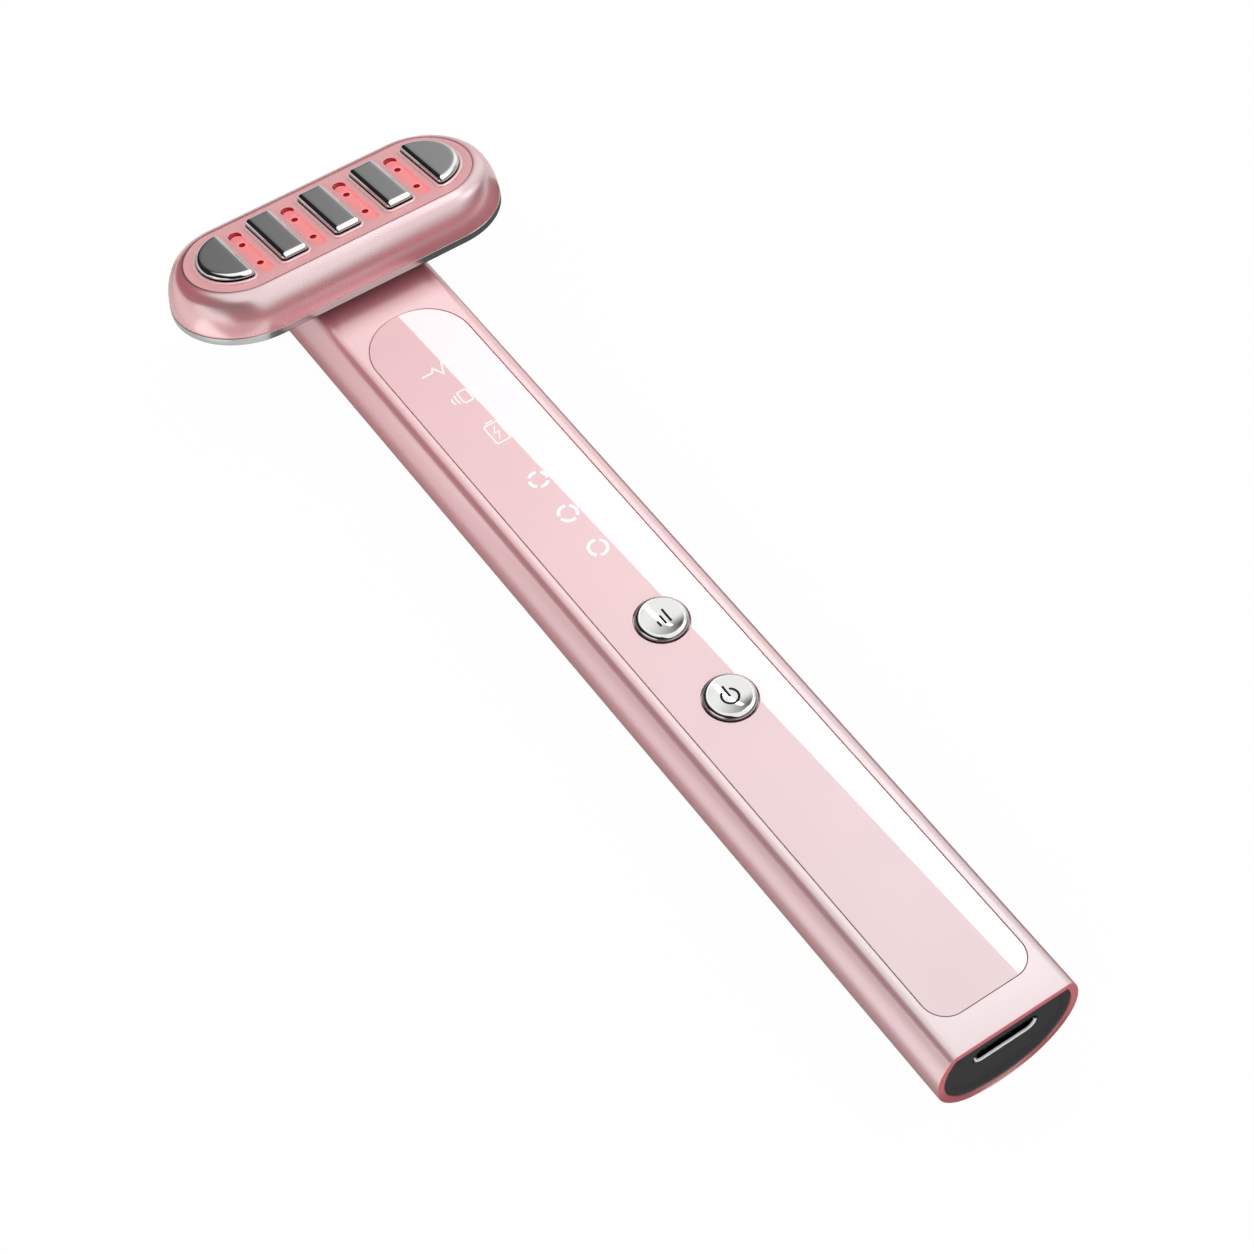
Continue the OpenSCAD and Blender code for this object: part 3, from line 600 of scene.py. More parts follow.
def tube_skin():
    skin = Skin().loft(tube_rows, closed=False)
    tops, across = tube_rows[:, -1], strips_across(tube_rows)
    cut = seat_start(0, SEAT_H)
    keep = int((across[:, 0, 1] < cut - 9).sum())
    bend = int(np.argmin(np.abs(across[:, 0, 1] - cut)))
    skin.loft(across[:keep], closed=False)
    lean = degrees(asin((HEAD_Z + SEAT_H * cos(PITCH)) / sin(PITCH) / COLLAR_R))
    ring = arc((0, 0), COLLAR_R, lean, -180 - lean, 32)
    foot = (ring[:, 1] * sin(PITCH) - HEAD_Z) / cos(PITCH)
    upper, lower = (to_handle(np.column_stack([ring, h])) for h in (np.full(33, SEAT_H), foot))
    skin.loft([upper, lower], closed=False)
    skin.lid(np.vstack([tops[keep - 1:bend + 1], lower, tops[len(tops) - 1 - bend:len(tops) - keep + 1]]))
    skin.lid(np.vstack([tops[bend:len(tops) - bend], upper[[-1, 0]]])).lid(upper)
    return skin.lid(end_loop(tube_rows))


def to_handle(p):
    """Head frame to handle frame."""
    return on_head(p) - [0, END_Y, FACE_Z]


tube = make_object("handle_body", tube_skin(), on_handle)
print("tube", len(tube.data.polygons))

# %% [markdown]
# The tube is then hollowed as the real one is machined: the cavity, the mouth for the end cap,
# the recess for the panel, the window for the lights, the holes under the buttons, and the bore
# and pin hole of the swivel. Each cutter is a skin of its own; the mouth and the recess have a
# small chamfer at the face.
# %% Hollow the tube
MOUTH, INNER_R, NECK_WALL, STEM_HOLE_R = 3.6, 0.5, 1.2, 1.58
CHAMFER, OUTSIDE, BELOW_FACE = 0.07, 0.2, (-4.0, -0.5)
PANEL_LOW, PANEL_HIGH = (np.array(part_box("control_panel")[i]) / MM - [0, END_Y, FACE_Z] for i in (0, 1))
PANEL_T, PANEL_GAP, PANEL_LOW_R, PANEL_HIGH_R = -PANEL_LOW[2], 0.06, 3.3, 7.2
BUSH_R, BARREL_END, PIN_R, PIN_Y = 5.0, -11.0, 0.7, 8.6
BUTTON_YS = {k: (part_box(k + "_button")[0].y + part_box(k + "_button")[1].y) / 2 / MM - END_Y
             for k in ("mode", "power")}
WINDOW = [np.array(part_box("light_guide")[i])[:2] / MM - [0, END_Y] for i in (0, 1)]


def stack(name, loops_and_heights, place=on_handle):
    """A solid between outlines at given heights, closed with a lid at both ends."""
    rows = [up(loop, height) for loop, height in loops_and_heights]
    return make_object(name, Skin().loft(rows).lid(rows[0]).lid(rows[-1]), place)


def round_cutter(radius, low, high, at, place):
    return stack("cutter", [(circle(at, radius), low), (circle(at, radius), high)], place)


def recess_outline(grow):
    return plate(PANEL_LOW[:2], PANEL_HIGH[:2], PANEL_LOW_R, PANEL_HIGH_R, -PANEL_GAP - grow)


cavity_rows = handle_rows(WALL, FACE_WALL, INNER_R, MOUTH - 0.01, SEAT_H - NECK_WALL, 0)
cavity_skin = Skin().loft(cavity_rows, closed=False).loft(strips_across(cavity_rows), closed=False)
cavity_skin.lid(end_loop(cavity_rows))
cavity = carve(make_object("cavity", cavity_skin, on_handle),
               round_cutter(COLLAR_R, BARREL_END, SEAT_H - 0.5, (0, 0), on_head))
mouth_rim = WALL - CHAMFER - OUTSIDE
mouth = stack("mouth", [(section_loop(mouth_rim, mouth_rim, INNER_R), -OUTSIDE),
                        *[(section_loop(WALL, WALL, INNER_R), depth) for depth in (CHAMFER, MOUTH)]],
              on_end)
recess = stack("recess", [(recess_outline(0.0), -PANEL_T), (recess_outline(0.0), -CHAMFER),
                          (recess_outline(CHAMFER + OUTSIDE), OUTSIDE)])
window = stack("window", [(plate(*WINDOW, 0.1, 0.1, steps=2), h) for h in BELOW_FACE])
stems = [round_cutter(STEM_HOLE_R, *BELOW_FACE, (0, y), on_handle) for y in BUTTON_YS.values()]
bore = round_cutter(BUSH_R, BARREL_END - 1, SEAT_H + 1, (0, 0), on_head)
pin_hole = round_cutter(PIN_R, SEAT_H - 1, SEAT_H + 1, (0, PIN_Y), on_head)
carve(tube, cavity, mouth, recess, window, *stems, bore, pin_hole)
finish_piece(tube, "handle", "rose_body", rose_metal, "handle_tube", sharp=30)

# %% [markdown]
# ## The control panel
# A flat strip of glossy plastic lies flush in the recess. Its edges and the rims of its two
# holes turn over in a small round, which is what draws the fine seam line round it.
# %% Panel
HOLE_R, PANEL_ROUND = 3.8, 0.07


def panel_skin():
    turn = round_over(0.0, 0.0, PANEL_ROUND, 5)
    outer = [up(plate(PANEL_LOW[:2], PANEL_HIGH[:2], PANEL_LOW_R, PANEL_HIGH_R, i, 20), h) for i, h in turn]
    bottom = np.array([1, 1, 0]) * outer[0] - [0, 0, PANEL_T]
    skin = Skin().loft([bottom, *outer])
    holes = [[up(circle((0, y), HOLE_R + i, 72), h) for i, h in turn] for y in BUTTON_YS.values()]
    floors = [h[0] * [1, 1, 0] - [0, 0, PANEL_T] for h in holes]
    for hole, floor in zip(holes, floors):
        skin.loft([floor, *hole])
    return skin.lid(outer[-1], *[h[-1] for h in holes]).lid(bottom, *floors)


panel = make_object("gloss_panel", panel_skin(), on_handle)
finish_piece(panel, "handle", "panel_gloss", panel_gloss, "control_panel")

# %% [markdown]
# ## Lines drawn with a pen
# The symbols are thin printed lines. Each is a real ribbon, a hundredth of a millimetre proud of
# what it is printed on: a path, moved half a line's width to each side, with round or flat ends.
# %% Ribbons
def headings(path, closed):
    """Unit directions at the points, and the stretch that keeps the width round a corner."""
    run = (np.roll(path, -1, 0) if closed else np.vstack([path[1:], 2 * path[-1] - path[-2]])) - path
    run = run / np.linalg.norm(run, axis=1)[:, None]
    back = np.roll(run, 1, 0) if closed else np.vstack([run[:1], run[:-1]])
    way = run + back
    way = way / np.linalg.norm(way, axis=1)[:, None]
    return way, 1 / np.maximum((way * run).sum(1), 0.5)


def ribbon(skin, path, width, low, high, closed=False, blunt=False):
    """Rows of four corners along the path: right and left of it, at the low and high level."""
    path = np.asarray(path, float)
    way, stretch = headings(path, closed)
    half = stretch * width / 2
    if not closed and not blunt:
        t = np.radians(np.linspace(15, 90, 6))
        first, last = (end + np.outer(np.sin(t), out) * width / 2
                       for end, out in ((path[0], -way[0]), (path[-1], way[-1])))
        path = np.vstack([first[::-1], path, last])
        way = np.vstack([np.tile(way[0], (6, 1)), way, np.tile(way[-1], (6, 1))])
        half = np.concatenate([np.cos(t)[::-1] * width / 2, half, np.cos(t) * width / 2])
    side = np.column_stack([-way[:, 1], way[:, 0]]) * half[:, None]
    rows = np.stack([up(path - side, low), up(path + side, low), up(path + side, high),
                     up(path - side, high)], 1)
    if closed:
        rows = np.concatenate([rows, rows[:1]])
    skin.loft(rows)
    if blunt:
        skin.lid(rows[0]).lid(rows[-1])
    return skin


def along(points, spacing=0.1):
    """Puts equally spaced points on the straight runs between the given points."""
    points = np.asarray(points, float)
    parts = [a + (b - a) * np.linspace(0, 1, max(2, int(np.linalg.norm(b - a) / spacing)))[:-1, None]
             for a, b in zip(points[:-1], points[1:])]
    return np.vstack([*parts, points[-1:]])


# %% [markdown]
# ## The light-up symbols
# From the buttons towards the head come three rings cut into two, three and four parts, which
# show the level, a battery, and two plain function signs: a shaking body and a pulse.
# %% Symbols on the panel
PRINT_LOW, PRINT_HIGH = -0.02, 0.012
RING_Y, RING_PITCH, RING_R, RING_LINE = 86.6, 7.07, 1.3, 0.5
BATTERY_Y, SHAKE_Y, PULSE_Y, FINE_LINE = 110.85, 118.85, 124.95, 0.3


def print_on_panel(name, lines):
    """lines: (path, width, closed, blunt) for each stroke."""
    skin = Skin()
    for path, width, closed, blunt in lines:
        ribbon(skin, path, width, PRINT_LOW, PRINT_HIGH, closed, blunt)
    thing = make_object(name, skin, on_handle)
    return finish_piece(thing, "handle", "led_white", mark_white)


def ring_parts(y, parts, gap=24):
    """Equal arcs round the ring with a gap between them, the first gap at the top right."""
    starts = 60 + gap / 2 + 360 / parts * np.arange(parts)
    return [(arc((0, y), RING_R, a, a + 360 / parts - gap), RING_LINE, False, True) for a in starts]


for i, name in enumerate(("low", "middle", "high")):
    print_on_panel(f"level_{name}", ring_parts(RING_Y + i * RING_PITCH, i + 2))

battery_w, battery_l = 2.2, 3.5
body_low = (-battery_w / 2, BATTERY_Y - battery_l / 2)
body_high = (battery_w / 2, BATTERY_Y + battery_l / 2)
bolt = np.array([(0.3, 1.1), (-0.42, 0.08), (0.38, 0.08), (-0.3, -1.1)]) + [0, BATTERY_Y]
nub_y = body_high[1] + 0.42
print_on_panel("battery_sign", [
    (plate(body_low, body_high, 0.3, 0.3, steps=4), 0.25, True, False),
    (np.array([(-0.55, nub_y), (0.55, nub_y)]), 0.25, False, False),
    (bolt, 0.2, False, False)])

beat = np.array([(-3.0, 0), (-1.5, 0), (-1.0, 0.7), (-0.2, -1.0), (0.6, 1.0), (1.2, 0), (3.0, 0)])
print_on_panel("pulse_sign", [(beat + [0, PULSE_Y], FINE_LINE, False, False)])
print_on_panel("shake_sign", [
    (plate((-0.75, SHAKE_Y - 1.1), (0.75, SHAKE_Y + 1.1), 0.35, 0.35, steps=4), 0.26, True, False),
    *[(np.column_stack([side * (out + 0.18 * np.cos(bow)), SHAKE_Y + tall * bow / 1.2]), 0.26, False, False)
      for side in (-1, 1) for out, tall in ((1.2, 0.75), (1.85, 0.5))
      for bow in [np.linspace(-1.2, 1.2, 9)]]])

# %% [markdown]
# ## The buttons
# Each button is turned from one bar: a stem, a cap with a rounded rim, and a shallow spherical
# dish for the finger. The whole piece is one profile spun about its own axis.
# %% Button profile
BUTTON_R, RIM_R, DISH_R, DISH_DEPTH = 3.6, 0.7, 3.0, 0.42
STEM_R, STEM_END, CAP_BOTTOM = 1.5, -2.45, -0.6
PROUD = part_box("power_button")[1].z / MM - FACE_Z
BOWL_R = (DISH_R ** 2 + DISH_DEPTH ** 2) / (2 * DISH_DEPTH)


def bowl(distance):
    """Height of the dish at a distance from the button's axis: a sphere of radius BOWL_R."""
    return PROUD - DISH_DEPTH + BOWL_R - np.sqrt(BOWL_R ** 2 - distance ** 2)


def spin(profile, centre, steps=128):
    """Rows of circles, one for each point (out, up) of the profile."""
    a = np.radians(np.linspace(0, 360, steps, endpoint=False))
    ring = np.column_stack([np.cos(a), np.sin(a)])
    return [up(np.asarray(centre) + r * ring, z) for r, z in profile]


def button_profile():
    dish = np.linspace(DISH_R - 0.03, 0, 16)
    rim = arc((BUTTON_R - RIM_R, PROUD - RIM_R), RIM_R, 0, 82, 14)
    return np.vstack([[(0, STEM_END), (STEM_R, STEM_END), (STEM_R, CAP_BOTTOM),
                       (BUTTON_R - 0.05, CAP_BOTTOM), (BUTTON_R, CAP_BOTTOM + 0.05),
                       (BUTTON_R, PROUD - RIM_R - 0.03)], rim, np.column_stack([dish, bowl(dish)])])


for key, y in BUTTON_YS.items():
    cap = make_object(f"{key}_cap", Skin().loft(spin(button_profile(), (0, y))), on_handle)
    finish_piece(cap, f"{key}_key", "button_chrome", button_metal, f"{key}_button")

# %% [markdown]
# The signs on the buttons are cut into the dish and filled with black. They are ribbons too, laid
# on the dish by adding its height. The upper button has three rising bars, for the mode, and the
# lower one the usual sign for power.
# %% Signs on the buttons
def sign_on_button(key, paths, width=0.33):
    skin = Skin()
    for path in paths:
        ribbon(skin, along(path), width, -0.02, 0.008)

    def in_dish(p):
        lifted = p + np.column_stack([np.zeros((len(p), 2)), bowl(np.hypot(p[:, 0], p[:, 1]))])
        return on_handle(lifted + [0, BUTTON_YS[key], 0])

    thing = make_object(f"{key}_sign", skin, in_dish)
    finish_piece(thing, f"{key}_key", "chip_black", symbol_black)


sign_on_button("power", [arc((0, 0), 1.15, 125, 415, 40), [(0, 0.1), (0, 1.65)]])
sign_on_button("mode", [[(x, -0.95), (x, top)] for x, top in ((-0.8, -0.25), (0, 0.4), (0.8, 1.05))])

# %% [markdown]
# ## The open end
# A dark plastic cap closes the tube. Its face is dished, with a soft slope all round, and a slot
# with round ends lets the charging plug in. The outlines are the tube's own section, drawn in.
# %% End cap
CAP_BACK, CAP_FRONT, DISH_STEP, SLOPE_IN, SLOPE_W = 3.4, 0.2, 0.35, 0.75, 0.7
PORT_Z = -5.4
PORT_W, PORT_H = 10.0, 3.0


def slot_loop(width, height, inset=0.0):
    low, high = (-width / 2, PORT_Z - height / 2), (width / 2, PORT_Z + height / 2)
    return plate(low, high, height / 2 - 0.01, height / 2 - 0.01, inset)


def cap_skin():
    side = WALL + 0.02
    rows = [(side, CAP_BACK)] + [(i, CAP_FRONT * 2 - d) for i, d in round_over(side, CAP_FRONT, 0.1)]
    t = np.linspace(0, 1, 9)
    slope = np.column_stack([side + SLOPE_IN + SLOPE_W * t,
                             CAP_FRONT + DISH_STEP * (1 - np.cos(np.pi * t)) / 2])
    floor = CAP_FRONT + DISH_STEP
    loops = [up(section_loop(i, i, max(0.5 - (i - side) / 3, 0.1)), d)
             for i, d in [*rows, *slope, (side + 1.6, floor)]]
    lip = [(slot_loop(PORT_W, PORT_H, -0.12 * (1 - s)), floor + 0.12 * (1 - c))
           for s, c in ((sin(a), cos(a)) for a in np.radians(np.linspace(0, 90, 5)))]
    slot = [up(slot_loop(PORT_W, PORT_H, -0.25), floor), *[up(o, d) for o, d in lip],
            up(slot_loop(PORT_W, PORT_H), CAP_BACK)]
    skin = Skin().loft(loops).loft(slot)
    return skin.lid(loops[-1], slot[0]).lid(loops[0], slot[-1])


cover = make_object("port_cover", cap_skin(), on_end)
finish_piece(cover, "handle", "cap_black", cap_black, "end_cap")

# %% [markdown]
# Inside the slot sits the drawn metal liner of the port: a tube with round sides, open in front,
# whose front edge turns over. Deep inside, and under its upper wall, it is painted dark, as painted
# shade, and its front lip is plain white paint, not metal, as a painted highlight.
# %% Port liner
LINER_W, LINER_H, LINER_WALL, LINER_LIP, LINER_BACK, LINER_FLOOR = 9.6, 2.9, 0.25, 0.16, 8.2, 7.6


def liner_skin():
    front = CAP_FRONT + DISH_STEP - 0.02
    flare = [(0.03 + LINER_WALL * sin(a), front + LINER_LIP * (1 - cos(a)))
             for a in np.radians(np.linspace(0, 90, 12))]
    rows = [(0.0, LINER_BACK), (0.0, front + 0.03), *flare, (LINER_WALL + 0.03, LINER_FLOOR)]
    loops = [up(slot_loop(LINER_W, LINER_H, i), d) for i, d in rows]
    return Skin().loft(loops).lid(loops[0]).lid(loops[-1])


liner = make_object("port_liner", liner_skin(), on_end)
liner_metal = finish("liner_metal", srgb(235, 235, 236), 0.08, metal=1.0, bump=0.02)
x, y, z = place_in_mm(liner_metal)
# Painted shade deep in the port and under its upper wall; in front the lip is plain white paint, not metal,
# as a painted highlight.
deep = larger(soft_step(y, END_Y + 0.78, END_Y + 0.9),
              soft_step(z, FACE_Z + PORT_Z + 0.2, FACE_Z + PORT_Z + 0.6))
tint(liner_metal, deep, srgb(16, 16, 17))
fill(shader_of(liner_metal), Metallic=deep)
finish_piece(liner, "handle", "steel", liner_metal, "usb_shell")

# %% [markdown]
# ## The head's casing
# Seen from above, every outline of the head is a stretched circle, so a profile (out, up) is
# carried round it: each point of the profile becomes one outline. The casing is a ring with a
# flat lip, a round shoulder and a bulging flank; inside it is hollow.
# %% Casing
FLANK, FLANK_R, LIP_TOP, SHELL_BOTTOM, SHOULDER_R = (1.95, -5.2), 9.0, 0.5, -5.35, 2.6
EDGE_TURN, LIP_TURN = 0.12, 0.08
shoulder_z = LIP_TOP - SHOULDER_R
SHOULDER = (FLANK[0] + sqrt((FLANK_R - SHOULDER_R) ** 2 - (shoulder_z - FLANK[1]) ** 2), shoulder_z)
JOIN = degrees(atan2(SHOULDER[1] - FLANK[1], SHOULDER[0] - FLANK[0]))


def around(profile, straight=STRAIGHT):
    """One stretched circle for each point (out, up) of a profile."""
    return [up(obround(straight, r), z) for r, z in profile]


def casing_profile():
    inner = PLATE_R + 0.05
    start = degrees(acos((inner + EDGE_TURN - SHOULDER[0]) / SHOULDER_R))
    end = degrees(asin((SHELL_BOTTOM + EDGE_TURN - FLANK[1]) / FLANK_R))
    shoulder = arc(SHOULDER, SHOULDER_R, start, JOIN, 20)
    flank = arc(FLANK, FLANK_R, JOIN, end, 24)[1:]
    edge = arc((flank[-1, 0] - EDGE_TURN, flank[-1, 1]), EDGE_TURN, 0, -90, 5)[1:]
    lip = arc((inner + LIP_TURN, shoulder[0, 1] - LIP_TURN), LIP_TURN, 180, 95, 5)
    hollow = [(9.85, SHELL_BOTTOM), (9.75, -3.2), (9.35, -1.8), (8.85, -0.9), (8.75, -0.4), (inner, -0.4)]
    return np.vstack([lip, shoulder, flank, edge, hollow, lip[:1]])


casing = make_object("head_casing", Skin().loft(around(casing_profile())), on_head)
finish_piece(casing, "head", "head_pink", head_pink, "head_shell", sharp=40)

# %% [markdown]
# ## The under cover
# A thin silver plate closes the head from below. It carries the swivel post, so it has a round
# hole, a curved groove in which the stop pin runs, and two sunk holes for its own screws. Over
# the neck its underside lies in deep shade, and is toned down there.
# %% Under cover
BASE_R, POST_R, GROOVE_R, GROOVE_W, GROOVE_DEPTH, GROOVE_TURN = 11.02, 3.6, 8.6, 1.9, 0.7, 97.5
SCREW_X, SUNK_R, SHANK_R, SUNK_DEPTH, PILOT_R, PILOT_FLOOR = 21.9, 1.55, 0.8, 0.6, 0.7, 0.35
BASE_ROUND, RIDGE_OUT, RIDGE_IN, RIDGE_H = 0.25, 9.65, 8.85, 1.0
POST_SCREWS = 5.05 * np.array([(cos(radians(a)), sin(radians(a))) for a in (90, 210, 330)])


def groove_loop():
    outer = arc((0, 0), GROOVE_R + GROOVE_W / 2, 90 - GROOVE_TURN, 90 + GROOVE_TURN, 40)
    inner = arc((0, 0), GROOVE_R - GROOVE_W / 2, 90 + GROOVE_TURN, 90 - GROOVE_TURN, 40)
    return np.vstack([outer, inner])


def base_skin():
    low, high = BASE_BOTTOM, SHELL_BOTTOM
    turn = arc((BASE_R - BASE_ROUND, low + BASE_ROUND), BASE_ROUND, -90, 0, 6)
    rows = around(np.vstack([[(BASE_R - 0.4, low)], turn,
                             [(BASE_R, high - 0.03), (BASE_R - 0.03, high), (RIDGE_OUT, high),
                              (RIDGE_OUT, high + RIDGE_H), (RIDGE_IN, high + RIDGE_H), (RIDGE_IN, high)]]))
    skin = Skin().loft(rows)
    under, over = [rows[0]], [rows[-1]]
    for s in (-1, 1):
        at = (s * SCREW_X, 0)
        sunk = [up(circle(at, r), z) for r, z in ((SUNK_R + 0.08, low), (SUNK_R, low + 0.08),
                (SUNK_R, low + SUNK_DEPTH), (SHANK_R, low + SUNK_DEPTH), (SHANK_R, high))]
        skin.loft(sunk)
        under.append(sunk[0])
        over.append(sunk[-1])
    post = wall(circle((0, 0), POST_R, 64), low, high)
    skin.loft(post)
    under.append(post[0])
    over.append(post[1])
    groove = wall(groove_loop(), low, low + GROOVE_DEPTH)
    skin.loft(groove).lid(groove[1])
    under.append(groove[0])
    for at in POST_SCREWS:
        pilot = wall(circle(at, PILOT_R, 24), low + PILOT_FLOOR, high)
        skin.loft(pilot).lid(pilot[0])
        over.append(pilot[1])
    return skin.lid(*under).lid(*over)


x, y, z = place_on_head(base_metal)
over_neck = falling(abs(x), 10.2, 10.9) * falling(z, BASE_BOTTOM + 0.2, BASE_BOTTOM + 0.3)
tint(base_metal, over_neck, srgb(20, 18, 18))
under_cover = make_object("head_under_cover", base_skin(), on_head)
finish_piece(under_cover, "head", "base_silver", base_metal, "head_base")

# %% [markdown]
# ## The face plate
# The pink plate under the contacts is moulded with four long pockets. Red lamps stand in two
# small holes in the floor of each, and the plastic round them has a painted glow. Its outlines,
# pockets and holes are lofts, and the flat parts between them are lids with holes.
# %% Face plate
PLATE_TOP, PLATE_STEP, PLATE_BOTTOM, SEAT = 0.45, -0.4, -1.0, -0.3
PLATE_STRAIGHT, FLANGE_R = 15.3, 8.4
BAR_PITCH = size_in_head("electrode_bar_right")[1][0] - size_in_head("electrode_bar_centre")[1][0]
BAR_W, BAR_L, CORNER = 4.2, 11.5, 0.6
END_R, END_C = 5.75, 15.2
SLOT_HALF, SLOT_R, LAMP_Y, LAMP_R, CRESCENT = 5.65, 0.97, 2.65, 0.5, 0.5
STUD_R, STUD_GAP, POCKET_GAP, SLOT_ROUND = 0.75, 0.05, 0.03, 0.14
CONTACTS = {"left": -2, "bar_left": -1, "bar_centre": 0, "bar_right": 1, "right": 2}
LAMP_XS = (np.arange(4) - 1.5) * BAR_PITCH


def contact_outline(i, grow, steps=8):
    """A bar with round corners, or for i = -2 and 2 an arc cut straight on its inner side."""
    if abs(i) < 2:
        low = (i * BAR_PITCH - BAR_W / 2, -BAR_L / 2)
        return plate(low, np.negative(low) + [2 * i * BAR_PITCH, 0], CORNER, CORNER, -grow, steps)
    r, k, flat = END_R + grow, max(CORNER + grow, 0.02), END_C - grow
    a = degrees(acos((flat + k - END_C) / (r - k)))
    corner_y = (r - k) * sin(radians(a))
    loop = np.vstack([arc((END_C, 0), r, -a, a, 40), arc((flat + k, corner_y), k, a, 180, steps)[1:],
                      arc((flat + k, -corner_y), k, 180, 360 - a, steps)[:-1]])
    return loop * [np.sign(i), 1]


def stud_centre(i):
    return (np.sign(i) * 17.9, 0) if abs(i) == 2 else (i * BAR_PITCH, 4.2)


def plate_skin():
    edge = round_over(0.0, PLATE_TOP, 0.06, 4)
    side = [(FLANGE_R, PLATE_BOTTOM), (FLANGE_R, PLATE_STEP), (PLATE_R, PLATE_STEP)]
    rows = around([*side, *[(PLATE_R - i, z) for i, z in edge]], PLATE_STRAIGHT)
    skin = Skin().loft(rows)
    top, bottom = [rows[-1]], [rows[0]]
    for i in CONTACTS.values():
        pocket = wall(contact_outline(i, POCKET_GAP), PLATE_TOP, SEAT)
        hole = wall(circle(stud_centre(i), STUD_R + STUD_GAP, 24), SEAT, PLATE_BOTTOM)
        skin.loft(pocket).loft(hole).lid(pocket[1], hole[0])
        top.append(pocket[0])
        bottom.append(hole[1])
    for x in LAMP_XS:
        low, high = (x - SLOT_R, -SLOT_HALF), (x + SLOT_R, SLOT_HALF)
        turn = arc((SLOT_ROUND, PLATE_TOP - SLOT_ROUND), SLOT_ROUND, 90, 180, 5) * [-1, 1]
        soft = [(-0.22, PLATE_TOP), *turn, (0.0, 0.08), (0.08, 0.0), (0.14, 0.0)]
        slot = [up(plate(low, high, SLOT_R - 0.01, SLOT_R - 0.01, i), z) for i, z in soft]
        holes = [wall(circle((x, y), LAMP_R, 32), 0.0, PLATE_BOTTOM) for y in (-LAMP_Y, LAMP_Y)]
        skin.loft(slot).loft(holes[0]).loft(holes[1]).lid(slot[-1], holes[0][0], holes[1][0])
        top.append(slot[0])
        bottom += [holes[0][1], holes[1][1]]
    return skin.lid(*top).lid(*bottom)


face = make_object("face_cover", plate_skin(), on_head)
print("plate", size_in_head("face_plate"))

# %% [markdown]
# The plate's painted glow, light and shade are worked out from the place alone, in the head's own
# frame. The whole plate has a faint painted glow. In the slots the plastic is painted lighter and
# glows more. The far end of each slot shows a dark red crescent of painted shade with a paler spot
# of painted light before it, and each lamp has a painted pale halo round its hole, whose walls are
# painted dark red as painted shade.
# %% Face plate finish
def plate_finish():
    # The plate is no lamp: its emission everywhere is a painted glow.
    material = finish("plate_pink", srgb(248, 172, 177), 0.22, tone=0.02, bump=0.03, Coat_Weight=0.6,
                      Coat_Roughness=0.08, Emission_Color=srgb(97, 104, 101), Emission_Strength=0.5)
    x, y, z = place_on_head(material)
    half = BAR_PITCH / 2
    across = math_node("PINGPONG", x + 40 * BAR_PITCH, half) - half

    def distance(to_y, along_y):
        """From (0, to_y) on the middle line of the nearest slot: sqrt(across^2 + rise^2)."""
        rise = along_y - to_y
        return math_node("SQRT", across * across + rise * rise)

    # Shares of painted glow, painted light and painted shade.
    sunk = falling(z, 0.25, PLATE_TOP - 0.02)
    glow = sunk * falling(abs(across), SLOT_R + 0.2, SLOT_R + 0.5)
    end_y = SLOT_HALF - SLOT_R
    beyond = soft_step(distance(end_y - CRESCENT, y), SLOT_R - 0.06, SLOT_R + 0.02)
    far = glow * (beyond * soft_step(y, end_y - 0.3, end_y))
    before = glow * falling(distance(end_y - 0.4, y), 0.3, 1.0) * (1 - beyond)
    to_lamp = distance(LAMP_Y, abs(y))
    painted_halo = sunk * falling(to_lamp, 0.5, 1.0)
    hole = falling(z, -0.08, 0.0) * falling(to_lamp, LAMP_R, LAMP_R + 0.05)
    # Painted glow in the slots, painted light before each far end, painted halos, and painted shade in the
    # crescents and the lamp holes.
    for share, colour in ((glow, srgb(250, 156, 158)), (before, srgb(252, 142, 150)),
                          (painted_halo, srgb(252, 172, 174)), (far, srgb(190, 26, 48)), (hole, srgb(150, 4, 14))):
        tint(material, share, colour)
    # The painted shade of the crescents and holes also glows a dark red.
    red = larger(far, hole)
    tint(material, glow * (1 - red), srgb(184, 105, 101), "Emission Color")
    tint(material, red, srgb(50, 0, 4), "Emission Color")
    return material


plate_pink = plate_finish()
finish_piece(face, "head", "plate_pink", plate_pink, "face_plate")

# %% [markdown]
# ## The contacts
# Five chromed blocks stand on the plate: three bars and a half moon at each end. Their outlines
# are drawn in step by step over the shoulder, and a fine dark line of painted shade runs round
# their feet. A clear lip seals each of them to the plate, and its crest is painted pale and glows
# a little, as a painted highlight.
# %% Contacts and lips
BAR_TOP, SHOULDER_K, SEAL_W, SEAL_TOP, BEAD_R = 1.7, 0.74, 0.5, 0.72, 0.2
STUD_END, FOOT_SHADE = -3.1, 0.94


def contact_skin(i):
    rows = [(0.0, SEAT), (0.0, BAR_TOP - SHOULDER_K - 0.05), *round_over(0.0, BAR_TOP, SHOULDER_K, 12)]
    loops = [up(contact_outline(i, -inset), z) for inset, z in rows]
    stud = wall(circle(stud_centre(i), STUD_R, 24), SEAT, STUD_END)
    return Skin().loft(loops).lid(loops[-1]).loft(stud).lid(stud[1]).lid(loops[0], stud[0])


# Painted shade: a dark line round the foot of each contact.
z = place_on_head(chrome)[2]
tint(chrome, falling(z, FOOT_SHADE, FOOT_SHADE + 0.14), srgb(24, 16, 18))
for name, i in CONTACTS.items():
    block = make_object(f"contact_{name}", contact_skin(i), on_head)
    finish_piece(block, "head", "electrode_chrome", chrome, f"electrode_{name}")


